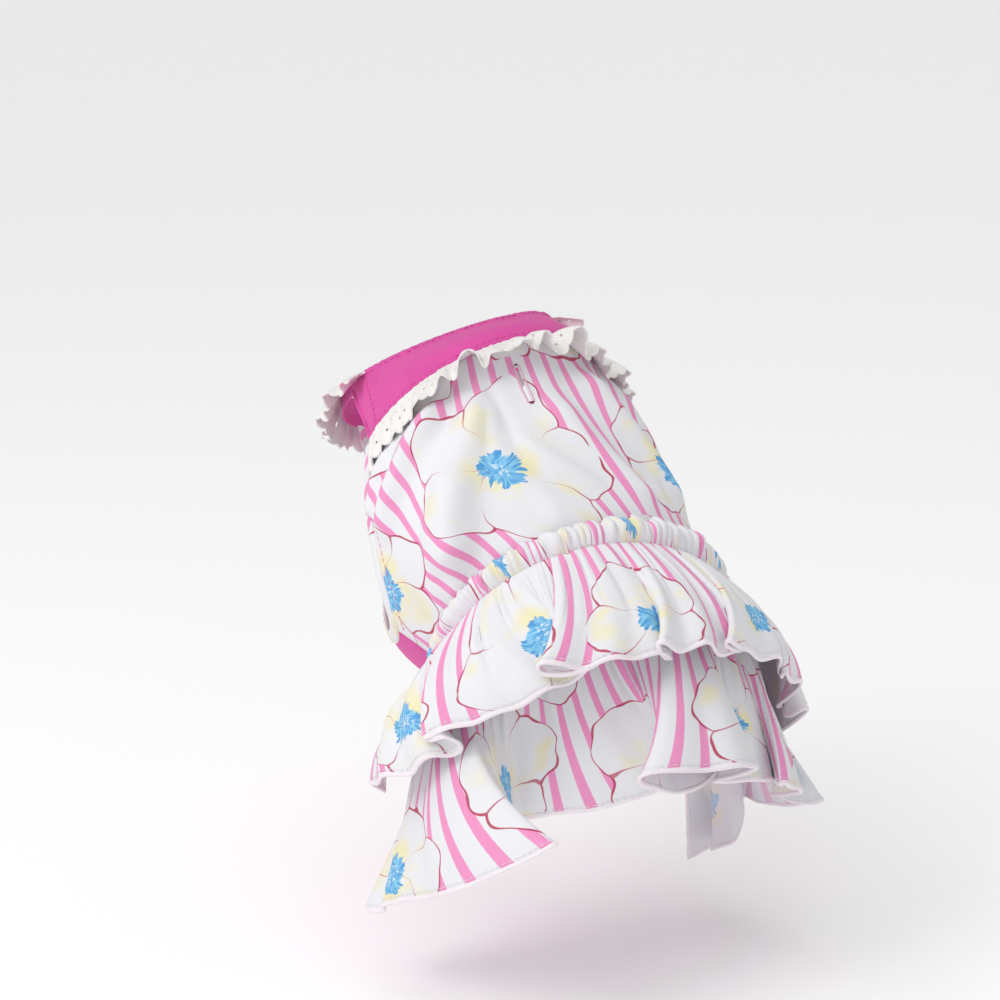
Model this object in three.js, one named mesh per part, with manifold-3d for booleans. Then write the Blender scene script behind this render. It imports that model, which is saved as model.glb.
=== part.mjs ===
// Dress for a small dog, as it hangs on the body: a shaped bodice with an open neck and two armholes,
// a band of eyelet lace under the yoke, and a gathered skirt of two tiers.
// Millimetres. +X is the wearer's right, +Y points forward to the head, +Z is up.
// The origin lies in the middle of the hollow that the chest fills.
import * as THREE from 'three';
import { mergeVertices } from 'three/addons/utils/BufferGeometryUtils.js';
import Module from 'manifold-3d';

const wasm = await Module();
wasm.setup();

// Girths and lengths
const NECK_GIRTH = 260;
const CHEST_GIRTH = 370;
const WAIST_GIRTH = 350;
const BODICE_LENGTH = 134; // neck edge to waist seam, along the middle of the body
const BODICE_LIP = 7.5; // bodice below the waist seam, where the lower tier is sewn on
const YOKE_DEPTH = 40; // neck edge to yoke seam, over the back
const FRONT_BAND_DEPTH = 9;
const ARMHOLE_DROP = 99; // neck edge to the bottom of the armhole, along the middle of the body
const BUTTONHOLE_LENGTH = 16;
const BUTTONHOLE_WIDTH = 3.6;
const LACE_WIDTH = 12;
const LACE_STAND = 1; // how far the lace's free edge stands off the cloth between its waves
const EYELET_DIAMETER = 2.2;
const HEADING_WIDTH = 9;
const UPPER_TIER_LENGTH = 53;
const LOWER_TIER_LENGTH = 96;

// Cloth and clearances
const CLOTH = 1.2;
const LACE_CLOTH = 1;
const SEAM_GAP = 0.35; // edge to edge along a seam
const LAYER_GAP = 0.4; // face to face, one layer over another

// Angles round the body, in degrees from the middle of the back, positive to the wearer's left
const YOKE_END = 77;
const YOKE_CORNER = 9; // angle over which the yoke narrows to the front band
const FRONT_LACE_END = 71;
const ARMHOLE_MIDDLE = 110;
const ARMHOLE_HALF = 29;
const SKIRT_END = 118; // the skirt is open under the belly, beyond this angle

// Gathers and ripples
const HEADING_GATHERS = 26;
const HEADING_SWELL = 2.2;
const SKIRT_GATHERS = 26;
const GATHER_DEPTH = 1.6;
const HEM_SPREAD = 1.3; // way round the hems over the way round the waist
const PATH_STEPS = 480;
const FOLD_CLOSENESS = 3; // how much closer the columns of the skirt's grid lie in its folds
const BACK_LACE_WAVES = 10;
const BACK_LACE_WAVE = 5; // depth over the middle and the right, flattening out to the left
const BACK_LACE_FLAT_WAVE = 1.2;
const FRONT_LACE_WAVES = 9;
const FRONT_LACE_WAVE = 7;

// Sections across the body, neck to hem lip. down, right, forward and up are shares of BODICE_LENGTH,
// width, back and belly are shares of the radius that the girth gives, tilt, roll and turn are degrees.
const HEM_LIP = 1 + BODICE_LIP / BODICE_LENGTH;
const SECTIONS = [
  { down: 0.0, right: -0.06, forward: 0.206, up: 0.405, girth: NECK_GIRTH,
    width: 0.97, back: 0.92, belly: 1.16, tilt: 27, roll: 9, turn: 6 },
  { down: 0.25, right: -0.07, forward: 0.018, up: 0.255, girth: CHEST_GIRTH,
    width: 0.79, back: 0.85, belly: 0.96, tilt: 49, roll: 3, turn: 8 },
  { down: 0.47, right: -0.072, forward: -0.127, up: 0.097, girth: CHEST_GIRTH,
    width: 0.93, back: 0.87, belly: 1.12, tilt: 52, roll: 1, turn: 8 },
  { down: 0.7, right: -0.055, forward: -0.276, up: -0.075, girth: CHEST_GIRTH,
    width: 1.0, back: 0.88, belly: 1.19, tilt: 54, roll: -2, turn: 5 },
  { down: 0.92, right: -0.005, forward: -0.425, up: -0.239, girth: WAIST_GIRTH,
    width: 1.02, back: 0.93, belly: 1.01, tilt: 57, roll: -6, turn: 0 },
  { down: 1.0, right: 0, forward: -0.478, up: -0.299, girth: WAIST_GIRTH,
    width: 1.02, back: 0.93, belly: 1.0, tilt: 57, roll: -8, turn: 0 },
  { down: 1.08, right: 0, forward: -0.528, up: -0.354, girth: WAIST_GIRTH,
    width: 1.02, back: 0.93, belly: 1.0, tilt: 57, roll: -9, turn: 0 },
];

// Soft folds that fall across the back from the shoulders. Each runs from one place to another,
// downs are shares of BODICE_LENGTH, angles are degrees, width and height are shares of CHEST_GIRTH.
const DRAPE_FOLDS = [
  { down: 0.34, angle: 34, downTo: 0.62, angleTo: 76, width: 0.016, height: 0.0062 },
  { down: 0.36, angle: 58, downTo: 0.52, angleTo: 80, width: 0.013, height: 0.0050 },
  { down: 0.45, angle: 22, downTo: 0.86, angleTo: 66, width: 0.024, height: 0.0060 },
  { down: 0.42, angle: -30, downTo: 0.80, angleTo: -52, width: 0.020, height: 0.0050 },
  { down: 0.52, angle: -8, downTo: 0.88, angleTo: -22, width: 0.022, height: 0.0042 },
  { down: 0.36, angle: -58, downTo: 0.64, angleTo: -78, width: 0.015, height: 0.0050 },
];

// Folds of the skirt's hems, left end to right end. at is a share of the hem's cloth, cloth is the
// cloth in the fold as a share of the hem's cloth, swing is how far the cloth turns back in it, outwards
// if above 0.
const UPPER_TIER_FOLDS = [
  { at: 0.153, cloth: 0.036, swing: 130 },
  { at: 0.333, cloth: 0.066, swing: 140 },
  { at: 0.473, cloth: 0.034, swing: 120 },
  { at: 0.579, cloth: 0.038, swing: 130 },
  { at: 0.701, cloth: 0.036, swing: 125 },
  { at: 0.800, cloth: 0.036, swing: 120 },
  { at: 0.913, cloth: 0.036, swing: 110 },
];
const LOWER_TIER_FOLDS = [
  { at: 0.051, cloth: 0.070, swing: -63 },
  { at: 0.235, cloth: 0.099, swing: -100 },
  { at: 0.454, cloth: 0.085, swing: 135 },
  { at: 0.581, cloth: 0.034, swing: -120 },
  { at: 0.682, cloth: 0.040, swing: 125 },
  { at: 0.812, cloth: 0.036, swing: 120 },
  { at: 0.912, cloth: 0.036, swing: -105 },
];

// How each tier hangs round the body: reach is how far the hem stands off the waist, hang is how much
// cloth hangs there, less where it is bunched over the rump. Both are shares of the tier's own length.
const UPPER_TIER_HANG = [
  { angle: 125, reach: 0.47, hang: 0.92 },
  { angle: 90, reach: 0.52, hang: 0.85 },
  { angle: 45, reach: 0.63, hang: 0.88 },
  { angle: 0, reach: 0.71, hang: 0.91 },
  { angle: -45, reach: 0.60, hang: 0.86 },
  { angle: -90, reach: 0.38, hang: 0.92 },
  { angle: -125, reach: 0.32, hang: 0.97 },
];
const LOWER_TIER_HANG = [
  { angle: 125, reach: 0.30, hang: 0.95 },
  { angle: 90, reach: 0.28, hang: 0.88 },
  { angle: 45, reach: 0.32, hang: 0.86 },
  { angle: 18, reach: 0.42, hang: 0.89 },
  { angle: -8, reach: 0.44, hang: 0.83 },
  { angle: -40, reach: 0.37, hang: 0.79 },
  { angle: -90, reach: 0.24, hang: 0.76 },
  { angle: -125, reach: 0.24, hang: 0.82 },
];

const radians = THREE.MathUtils.degToRad;
const lerp = THREE.MathUtils.lerp;
const smoothstep = THREE.MathUtils.smoothstep;

// Smooth curve through the rows of a table: its value of one column where `key` equals `place`
function smoothColumn(rows, key, place, value) {
  const keys = rows.map((row) => row[key]);
  const rising = keys[keys.length - 1] > keys[0];
  const inside = rising
    ? THREE.MathUtils.clamp(place, keys[0], keys[keys.length - 1])
    : THREE.MathUtils.clamp(place, keys[keys.length - 1], keys[0]);
  let index = 0;
  const passed = (k) => (rising ? keys[k] < inside : keys[k] > inside);
  while (index < rows.length - 2 && passed(index + 1)) index += 1;
  const slope = (k) => {
    const before = Math.max(k - 1, 0);
    const after = Math.min(k + 1, rows.length - 1);
    return (value(rows[after]) - value(rows[before])) / (keys[after] - keys[before]);
  };
  const step = keys[index + 1] - keys[index];
  const t = (inside - keys[index]) / step;
  const from = value(rows[index]);
  const to = value(rows[index + 1]);
  return (1 + 2 * t) * (1 - t) ** 2 * from + t * (1 - t) ** 2 * step * slope(index)
    + t * t * (3 - 2 * t) * to + t * t * (t - 1) * step * slope(index + 1);
}

// A point of the body's skin: an oval across the body, tilted to the way the back leans
function skinPoint(down, angle) {
  const column = (value) => smoothColumn(SECTIONS, 'down', down, value);
  const radius = column((row) => row.girth / (2 * Math.PI));
  const tilt = radians(column((row) => row.tilt));
  const roll = radians(column((row) => row.roll));
  const turned = radians(angle + column((row) => row.turn));
  const depth = Math.cos(turned) > 0 ? column((row) => row.back) : column((row) => row.belly);
  const toBack = new THREE.Vector3(0, -Math.cos(tilt), Math.sin(tilt));
  const toLeft = new THREE.Vector3(-Math.cos(roll), 0, -Math.sin(roll));
  return new THREE.Vector3(
    column((row) => row.right),
    column((row) => row.forward),
    column((row) => row.up),
  ).multiplyScalar(BODICE_LENGTH)
    .addScaledVector(toBack, radius * depth * Math.cos(turned))
    .addScaledVector(toLeft, radius * column((row) => row.width) * Math.sin(turned));
}

// The way out of the skin, square to it
function skinNormal(down, angle) {
  const alongAngle = skinPoint(down, angle + 1).sub(skinPoint(down, angle - 1));
  const alongDown = skinPoint(down + 0.01, angle).sub(skinPoint(down - 0.01, angle));
  return alongAngle.cross(alongDown).normalize();
}

// Where the cloth lies `out` from the skin
function overSkin(down, angle, out) {
  return skinPoint(down, angle).addScaledVector(skinNormal(down, angle), out);
}

// Height of the soft folds over the back: each is a rounded ridge along a straight line
function drape(down, angle) {
  const degree = CHEST_GIRTH / 360;
  let height = 0;
  for (const fold of DRAPE_FOLDS) {
    const runDown = (fold.downTo - fold.down) * BODICE_LENGTH;
    const runRound = (fold.angleTo - fold.angle) * degree;
    const run = Math.hypot(runDown, runRound);
    const pastDown = (down - fold.down) * BODICE_LENGTH;
    const pastRound = (angle - fold.angle) * degree;
    const along = (pastDown * runDown + pastRound * runRound) / run;
    const across = (pastDown * runRound - pastRound * runDown) / run;
    const width = fold.width * CHEST_GIRTH;
    const fade = smoothstep(along, -width, width) * (1 - smoothstep(along, run - width, run + width));
    height += fold.height * CHEST_GIRTH * fade * Math.exp(-((across / width) ** 2));
  }
  return height;
}

// A wall of cloth with its own thickness over a grid of columns and rows. `point` gives the face
// next to the body. The other face lies square to it, or along `outward` where that gives a
// direction, so that two pieces meet edge to edge along a seam. `eyelet` says which cells have a hole.
function clothWall({
  columns, rows, closed = false, thickness, point, outward = () => null, eyelet = () => false,
}) {
  const wrap = (column) => (
    closed ? (column + columns) % columns : THREE.MathUtils.clamp(column, 0, columns)
  );
  const lines = closed ? columns : columns + 1;
  const near = [];
  const far = [];
  const grid = [];
  for (let column = 0; column < lines; column += 1) {
    grid.push([]);
    for (let row = 0; row <= rows; row += 1) grid[column].push(point(column / columns, row / rows));
  }
  for (let column = 0; column < lines; column += 1) {
    for (let row = 0; row <= rows; row += 1) {
      const across = grid[wrap(column + 1)][row].clone().sub(grid[wrap(column - 1)][row]);
      const along = grid[column][Math.min(row + 1, rows)].clone().sub(grid[column][Math.max(row - 1, 0)]);
      const normal = outward(column / columns, row / rows) ?? across.cross(along).normalize();
      near.push(grid[column][row]);
      far.push(grid[column][row].clone().addScaledVector(normal, thickness));
    }
  }
  const triangles = [];
  const face = (...corners) => triangles.push(...corners);
  const quad = (a, b, c, d) => {
    face(a, b, c);
    face(a, c, d);
  };
  const nearAt = (column, row) => near[wrap(column) * (rows + 1) + row];
  const farAt = (column, row) => far[wrap(column) * (rows + 1) + row];
  for (let column = 0; column < columns; column += 1) {
    for (let row = 0; row < rows; row += 1) {
      const cell = [[column, row], [column + 1, row], [column + 1, row + 1], [column, row + 1]];
      const outer = cell.map(([i, j]) => farAt(i, j));
      const inner = cell.map(([i, j]) => nearAt(i, j));
      if (eyelet(column, row)) {
        eyeletCell(face, outer, inner);
      } else {
        quad(...outer);
        quad(inner[0], inner[3], inner[2], inner[1]);
      }
    }
    quad(farAt(column + 1, 0), farAt(column, 0), nearAt(column, 0), nearAt(column + 1, 0));
    quad(farAt(column, rows), farAt(column + 1, rows), nearAt(column + 1, rows), nearAt(column, rows));
  }
  if (!closed) {
    for (let row = 0; row < rows; row += 1) {
      quad(farAt(0, row), farAt(0, row + 1), nearAt(0, row + 1), nearAt(0, row));
      quad(farAt(columns, row + 1), farAt(columns, row), nearAt(columns, row), nearAt(columns, row + 1));
    }
  }
  const geometry = new THREE.BufferGeometry().setFromPoints(triangles);
  geometry.deleteAttribute('normal');
  return mergeVertices(geometry, 1e-4);
}

// One cell of lace with an eight-sided hole through both faces
function eyeletCell(face, outer, inner) {
  const wide = outer[0].distanceTo(outer[1]);
  const high = outer[1].distanceTo(outer[2]);
  const shareWide = Math.min(EYELET_DIAMETER / 2 / wide, 0.4);
  const shareHigh = Math.min(EYELET_DIAMETER / 2 / high, 0.4);
  const rim = (corners) => Array.from({ length: 8 }, (_, k) => {
    const turn = radians(22.5 + 45 * k);
    const u = 0.5 + shareWide * Math.cos(turn);
    const v = 0.5 + shareHigh * Math.sin(turn);
    const top = corners[0].clone().lerp(corners[1], u);
    const bottom = corners[3].clone().lerp(corners[2], u);
    return top.lerp(bottom, v);
  });
  const outerRim = rim(outer);
  const innerRim = rim(inner);
  const layer = (corners, hole, put) => {
    for (let side = 0; side < 4; side += 1) {
      const from = corners[side];
      const to = corners[(side + 1) % 4];
      const first = hole[(5 + 2 * side) % 8];
      const second = hole[(6 + 2 * side) % 8];
      put(from, to, second);
      put(from, second, first);
      put(from, first, hole[(4 + 2 * side) % 8]);
    }
  };
  layer(outer, outerRim, face);
  layer(inner, innerRim, (a, b, c) => face(a, c, b));
  for (let k = 0; k < 8; k += 1) {
    const next = (k + 1) % 8;
    face(outerRim[k], outerRim[next], innerRim[next]);
    face(outerRim[k], innerRim[next], innerRim[k]);
  }
}

function named(name, geometry, colour, roughness) {
  geometry.computeVertexNormals();
  const material = new THREE.MeshStandardMaterial({ color: colour, roughness, metalness: 0 });
  const mesh = new THREE.Mesh(geometry, material);
  mesh.name = name;
  return mesh;
}

// Joining and cutting
function toSolid(geometry) {
  const vertProperties = new Float32Array(geometry.attributes.position.array);
  const triVerts = new Uint32Array(geometry.index.array);
  return new wasm.Manifold(new wasm.Mesh({ numProp: 3, vertProperties, triVerts }));
}

function toGeometry(solid) {
  const { vertProperties, triVerts } = solid.getMesh();
  const geometry = new THREE.BufferGeometry();
  geometry.setAttribute('position', new THREE.BufferAttribute(new Float32Array(vertProperties), 3));
  geometry.setIndex(new THREE.BufferAttribute(new Uint32Array(triVerts), 1));
  return geometry;
}

// Edges of the pieces, as shares of BODICE_LENGTH down or as degrees round the body
const seamGapDown = SEAM_GAP / BODICE_LENGTH;
const seamGapAngle = SEAM_GAP / (CHEST_GIRTH / 360);
const armholeBottom = ARMHOLE_DROP / BODICE_LENGTH;
const overCloth = CLOTH + LAYER_GAP;

function yokeEdge(angle) {
  const side = smoothstep(Math.abs(angle), YOKE_END, YOKE_END + YOKE_CORNER);
  return lerp(YOKE_DEPTH, FRONT_BAND_DEPTH, side) / BODICE_LENGTH;
}

function armholeHalf(down) {
  const open = Math.max(0, 1 - (down / armholeBottom) ** 2.5);
  return ARMHOLE_HALF * Math.sqrt(open);
}

const backEdge = (down) => ARMHOLE_MIDDLE - armholeHalf(down) - seamGapAngle / 2;
const bellyEdge = (down) => ARMHOLE_MIDDLE + armholeHalf(down) + seamGapAngle / 2;

// Bodice
// A piece cut to the body. `place` gives how far down and at which angle a point of it lies, and
// how far off the skin.
function bodicePiece({ place, ...grid }) {
  return clothWall({
    ...grid,
    thickness: CLOTH,
    point: (u, v) => {
      const { down, angle, out = 0 } = place(u, v);
      return overSkin(down, angle, out);
    },
    outward: (u, v) => {
      const { down, angle } = place(u, v);
      return skinNormal(down, angle);
    },
  });
}

function yoke() {
  const geometry = bodicePiece({
    columns: 48,
    rows: 2,
    closed: true,
    place: (u, v) => {
      const angle = 360 * u - 180;
      return { down: v * yokeEdge(angle), angle };
    },
  });
  return named('yoke', geometry, 0xe0559f, 0.85);
}

function backPanel() {
  const start = YOKE_DEPTH / BODICE_LENGTH + seamGapDown;
  const geometry = bodicePiece({
    columns: 30,
    rows: 12,
    place: (u, v) => {
      const down = lerp(start, HEM_LIP, v);
      const angle = (2 * u - 1) * backEdge(down);
      const fromSides = smoothstep(1 - Math.abs(1 - 2 * u), 0, 0.1);
      const fromEnds = smoothstep(v, 0.1, 0.25) * (1 - smoothstep(v, 0.62, 0.8));
      return { down, angle, out: drape(down, angle) * fromSides * fromEnds };
    },
  });
  const panel = toSolid(geometry).subtract(toSolid(buttonhole()));
  return named('back_panel', toGeometry(panel), 0xf0b9d6, 0.85);
}

// The slit for the lead, a pointed oval prism square to the back under the lace
function buttonhole() {
  const outline = new THREE.Shape();
  outline.moveTo(-BUTTONHOLE_LENGTH / 2, 0);
  outline.quadraticCurveTo(0, BUTTONHOLE_WIDTH, BUTTONHOLE_LENGTH / 2, 0);
  outline.quadraticCurveTo(0, -BUTTONHOLE_WIDTH, -BUTTONHOLE_LENGTH / 2, 0);
  const reach = 6 * CLOTH;
  const sides = { depth: 2 * reach, bevelEnabled: false, curveSegments: 5 };
  const prism = new THREE.ExtrudeGeometry(outline, sides);
  prism.translate(0, 0, -reach);
  const down = (YOKE_DEPTH + LACE_WIDTH + BUTTONHOLE_LENGTH / 2) / BODICE_LENGTH;
  const middle = overSkin(down, 0, 0);
  const outward = overSkin(down, 0, 1).sub(middle);
  const along = skinPoint(down + 0.01, 0).sub(skinPoint(down - 0.01, 0)).normalize();
  const across = outward.clone().cross(along);
  prism.applyMatrix4(new THREE.Matrix4().makeBasis(along, across, outward).setPosition(middle));
  prism.deleteAttribute('normal');
  prism.deleteAttribute('uv');
  return mergeVertices(prism, 1e-4);
}

function bellyPanel() {
  const start = FRONT_BAND_DEPTH / BODICE_LENGTH + seamGapDown;
  const geometry = bodicePiece({
    columns: 14,
    rows: 10,
    place: (u, v) => {
      const down = lerp(start, HEM_LIP, v);
      const half = 180 - bellyEdge(down);
      return { down, angle: 180 + (2 * u - 1) * half };
    },
  });
  return named('belly_panel', geometry, 0xe0559f, 0.85);
}

// Lace: a frilled strip under the yoke seam, another under the front band
function laceStrip({ name, columns, fromAngle, toAngle, start, stand, waves, waveDepth }) {
  const geometry = clothWall({
    columns,
    rows: 3,
    thickness: LACE_CLOTH,
    eyelet: (column, row) => row === 1 && column % 2 === 0,
    point: (u, v) => {
      const angle = lerp(fromAngle, toAngle, u);
      const down = start + (v * LACE_WIDTH) / BODICE_LENGTH;
      const wave = 0.5 - 0.5 * Math.cos(2 * Math.PI * waves * u);
      return overSkin(down, angle, overCloth + v * (stand + wave * waveDepth(angle)));
    },
  });
  return named(name, geometry, 0xf6f3f4, 0.9);
}

function backLace() {
  return laceStrip({
    name: 'back_lace',
    columns: 48,
    fromAngle: -YOKE_END,
    toAngle: YOKE_END,
    start: YOKE_DEPTH / BODICE_LENGTH + seamGapDown,
    stand: LACE_STAND,
    waves: BACK_LACE_WAVES,
    waveDepth: (angle) => lerp(BACK_LACE_WAVE, BACK_LACE_FLAT_WAVE, smoothstep(angle, 0, YOKE_END)),
  });
}

// Over the front band, from one end of the yoke round the chest to the other
function frontLace() {
  return laceStrip({
    name: 'front_lace',
    columns: 46,
    fromAngle: FRONT_LACE_END,
    toAngle: 360 - FRONT_LACE_END,
    start: LACE_STAND / BODICE_LENGTH,
    stand: 3 * LACE_STAND,
    waves: FRONT_LACE_WAVES,
    waveDepth: () => FRONT_LACE_WAVE,
  });
}

// Skirt
// The hem's path: the cloth runs round the waist and turns back on itself in each fold by its swing.
// Gives the share gone round and the share stood out, for a share of the hem's cloth. The path's
// drift outwards is spread between the folds and taken off.
function hemPath(folds) {
  const progress = [0];
  const lift = [0];
  for (let step = 0; step < PATH_STEPS; step += 1) {
    const share = (step + 0.5) / PATH_STEPS;
    let heading = 0;
    for (const fold of folds) {
      const phase = Math.abs(share - fold.at) / fold.cloth;
      heading += radians(fold.swing) * (1 - smoothstep(phase, 0.36, 0.6));
    }
    progress.push(progress[step] + Math.cos(heading) / PATH_STEPS);
    lift.push(lift[step] + Math.sin(heading) / PATH_STEPS);
  }
  const total = progress[PATH_STEPS];
  const read = (values, share) => {
    const exact = THREE.MathUtils.clamp(share, 0, 1) * PATH_STEPS;
    const index = Math.min(Math.floor(exact), PATH_STEPS - 1);
    return lerp(values[index], values[index + 1], exact - index) / total;
  };
  const marks = [0, ...folds.map((fold) => fold.at), 1];
  const drift = (share) => {
    const next = Math.max(marks.findIndex((mark) => mark >= share), 1);
    const part = (share - marks[next - 1]) / (marks[next] - marks[next - 1]);
    return lerp(read(lift, marks[next - 1]), read(lift, marks[next]), part);
  };
  return (share) => ({ share: read(progress, share), lift: read(lift, share) - drift(share) });
}

// Shares of the cloth where a tier's columns lie, closer together in the folds
function columnShares(folds, columns) {
  const passed = [0];
  for (let step = 0; step < PATH_STEPS; step += 1) {
    const share = (step + 0.5) / PATH_STEPS;
    const folded = folds.some((fold) => Math.abs(share - fold.at) < 0.65 * fold.cloth);
    passed.push(passed[step] + (folded ? FOLD_CLOSENESS : 1));
  }
  const shares = [];
  let step = 0;
  for (let column = 0; column <= columns; column += 1) {
    const wanted = (passed[PATH_STEPS] * column) / columns;
    while (step < PATH_STEPS - 1 && passed[step + 1] < wanted) step += 1;
    const part = (wanted - passed[step]) / (passed[step + 1] - passed[step]);
    shares.push(Math.min((step + part) / PATH_STEPS, 1));
  }
  return shares;
}

// A tier hangs from its seam: every thread has the tier's length, so a hem that reaches out is higher
function tier({ name, length, seamDown, seamOut, folds, hang, flare, foldGrowth, columns, rows, colour }) {
  const path = hemPath(folds);
  const shares = columnShares(folds, columns);
  const shareAt = (u) => shares[Math.round((1 - u) * columns)];
  const seam = (angle) => overSkin(seamDown, angle, seamOut);
  const outward = (angle) => {
    const along = seam(angle - 1).sub(seam(angle + 1));
    return new THREE.Vector3(along.y, -along.x, 0).normalize();
  };
  const reachAt = (angle) => length * smoothColumn(hang, 'angle', angle, (row) => row.reach);
  const lengthAt = (angle) => length * smoothColumn(hang, 'angle', angle, (row) => row.hang);
  const hemRound = 2 * SKIRT_END * (WAIST_GIRTH / 360) * HEM_SPREAD;
  const angleAt = (share) => lerp(SKIRT_END, -SKIRT_END, share);
  const standing = (share, v) => {
    const hem = path(share);
    const grown = v ** foldGrowth;
    const angle = lerp(angleAt(share), angleAt(hem.share), grown);
    const bulge = 1 - (1 - v) ** flare;
    const ripple = 0.5 - 0.5 * Math.cos(2 * Math.PI * SKIRT_GATHERS * share);
    const gather = Math.sin(Math.PI * Math.min(2 * v, 1)) * ripple;
    const out = reachAt(angle) * bulge + hem.lift * hemRound * grown + GATHER_DEPTH * gather;
    return seam(angle).setZ(0).addScaledVector(outward(angle), out);
  };
  const geometry = clothWall({
    columns,
    rows,
    thickness: CLOTH,
    point: (u, v) => {
      const share = shareAt(u);
      const top = seam(angleAt(share));
      const hem = standing(share, 1);
      const aside = Math.hypot(hem.x - top.x, hem.y - top.y);
      const thread = lengthAt(angleAt(share));
      const drop = Math.sqrt(Math.max(thread ** 2 - aside ** 2, (thread / 4) ** 2));
      return standing(share, v).setZ(top.z - drop * v);
    },
    outward: (u, v) => (v === 0 ? skinNormal(seamDown, angleAt(shareAt(u))) : null),
  });
  return named(name, geometry, colour, 0.85);
}

function upperTier() {
  return tier({
    name: 'upper_tier',
    length: UPPER_TIER_LENGTH,
    seamDown: 1 + seamGapDown,
    seamOut: overCloth,
    folds: UPPER_TIER_FOLDS,
    hang: UPPER_TIER_HANG,
    flare: 2.2,
    foldGrowth: 1.2,
    columns: 100,
    rows: 4,
    colour: 0xf3c3da,
  });
}

function lowerTier() {
  return tier({
    name: 'lower_tier',
    length: LOWER_TIER_LENGTH,
    seamDown: HEM_LIP + seamGapDown,
    seamOut: 0,
    folds: LOWER_TIER_FOLDS,
    hang: LOWER_TIER_HANG,
    flare: 1.1,
    foldGrowth: 2.4,
    columns: 100,
    rows: 5,
    colour: 0xf3c3da,
  });
}

// The heading stands up over the waist seam in a row of small gathers
function waistRuffle() {
  const geometry = clothWall({
    columns: 4 * HEADING_GATHERS,
    rows: 2,
    thickness: CLOTH,
    point: (u, v) => {
      const angle = lerp(-SKIRT_END, SKIRT_END, u);
      const down = 1 - ((1 - v) * HEADING_WIDTH) / BODICE_LENGTH;
      const gather = 0.5 - 0.5 * Math.cos(2 * Math.PI * HEADING_GATHERS * u);
      const swell = HEADING_SWELL * Math.sin(Math.PI * (0.15 + 0.85 * v));
      return overSkin(down, angle, overCloth + swell + GATHER_DEPTH * gather * (1 - v * v));
    },
    outward: (u, v) => (v === 1 ? skinNormal(1, lerp(-SKIRT_END, SKIRT_END, u)) : null),
  });
  return named('waist_ruffle', geometry, 0xf3c3da, 0.85);
}

const dress = new THREE.Group();
dress.add(
  yoke(),
  backLace(),
  frontLace(),
  backPanel(),
  bellyPanel(),
  waistRuffle(),
  upperTier(),
  lowerTier(),
);

export default dress;
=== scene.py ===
import bmesh
import bpy
import numpy as np
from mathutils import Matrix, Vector


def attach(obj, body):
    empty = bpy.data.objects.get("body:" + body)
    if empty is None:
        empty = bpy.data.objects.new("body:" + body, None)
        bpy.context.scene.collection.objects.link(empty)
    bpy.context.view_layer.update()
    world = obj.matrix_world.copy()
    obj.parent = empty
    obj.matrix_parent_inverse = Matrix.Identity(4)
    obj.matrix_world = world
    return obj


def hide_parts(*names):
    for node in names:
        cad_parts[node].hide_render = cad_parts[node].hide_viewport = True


# Pet dress: yoke and belly of plain magenta cotton, back and skirt of printed cotton, eyelet lace under
# the yoke. Shapes are worked out in millimetres and put into the meshes in metres, in the solids' frame:
# X to the right, Y forward to the neck, Z up, the origin in the middle of the bodice's hollow.
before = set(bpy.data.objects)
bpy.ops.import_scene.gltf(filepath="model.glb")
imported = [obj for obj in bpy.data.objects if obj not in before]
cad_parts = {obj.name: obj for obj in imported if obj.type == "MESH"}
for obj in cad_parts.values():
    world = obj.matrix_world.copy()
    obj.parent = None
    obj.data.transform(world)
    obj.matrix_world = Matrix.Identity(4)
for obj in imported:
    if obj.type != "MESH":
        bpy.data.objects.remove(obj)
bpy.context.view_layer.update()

MM = 0.001
TO_MM = 1000.0

# Sizes, the same as the solids'
NECK_GIRTH = 260
CHEST_GIRTH = 370
WAIST_GIRTH = 350
BODICE_LENGTH = 134
BODICE_LIP = 7.5
YOKE_DEPTH = 40
FRONT_BAND_DEPTH = 9
ARMHOLE_DROP = 99
BUTTONHOLE_LENGTH = 16
BUTTONHOLE_WIDTH = 0.7
LACE_WIDTH = 12
HEADING_WIDTH = 9
UPPER_TIER_LENGTH = 53
LOWER_TIER_LENGTH = 96
HEM_SPREAD = 1.3
YOKE_END = 77
YOKE_CORNER = 9
FRONT_LACE_END = 71
ARMHOLE_MIDDLE = 110
ARMHOLE_HALF = 29
SKIRT_END = 118

# Cloth, seams, lace and stitches
COTTON = 0.7
LACE_COTTON = 0.55
SEAM_GAP = 0.1
ROLL_WIDTH = 2.0
ROLL_DEPTH = 1.5
SEAM_BESIDE = 8.5
LACE_SCALLOP = 5.0
LACE_STRIP = 14.5
STITCH = 2.1
STITCH_PITCH = 2.7
STITCHES_IN = 2.6
NECK_STITCHES_IN = 2.8
TUBE_SIDE = 0.7
THREAD_RINGS = 6
THREAD_SIDES = 6

HEM_LIP = 1 + BODICE_LIP / BODICE_LENGTH
ROUND_DEGREE = CHEST_GIRTH / 360
GAP_DOWN = SEAM_GAP / BODICE_LENGTH
GAP_ROUND = SEAM_GAP / ROUND_DEGREE

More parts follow.
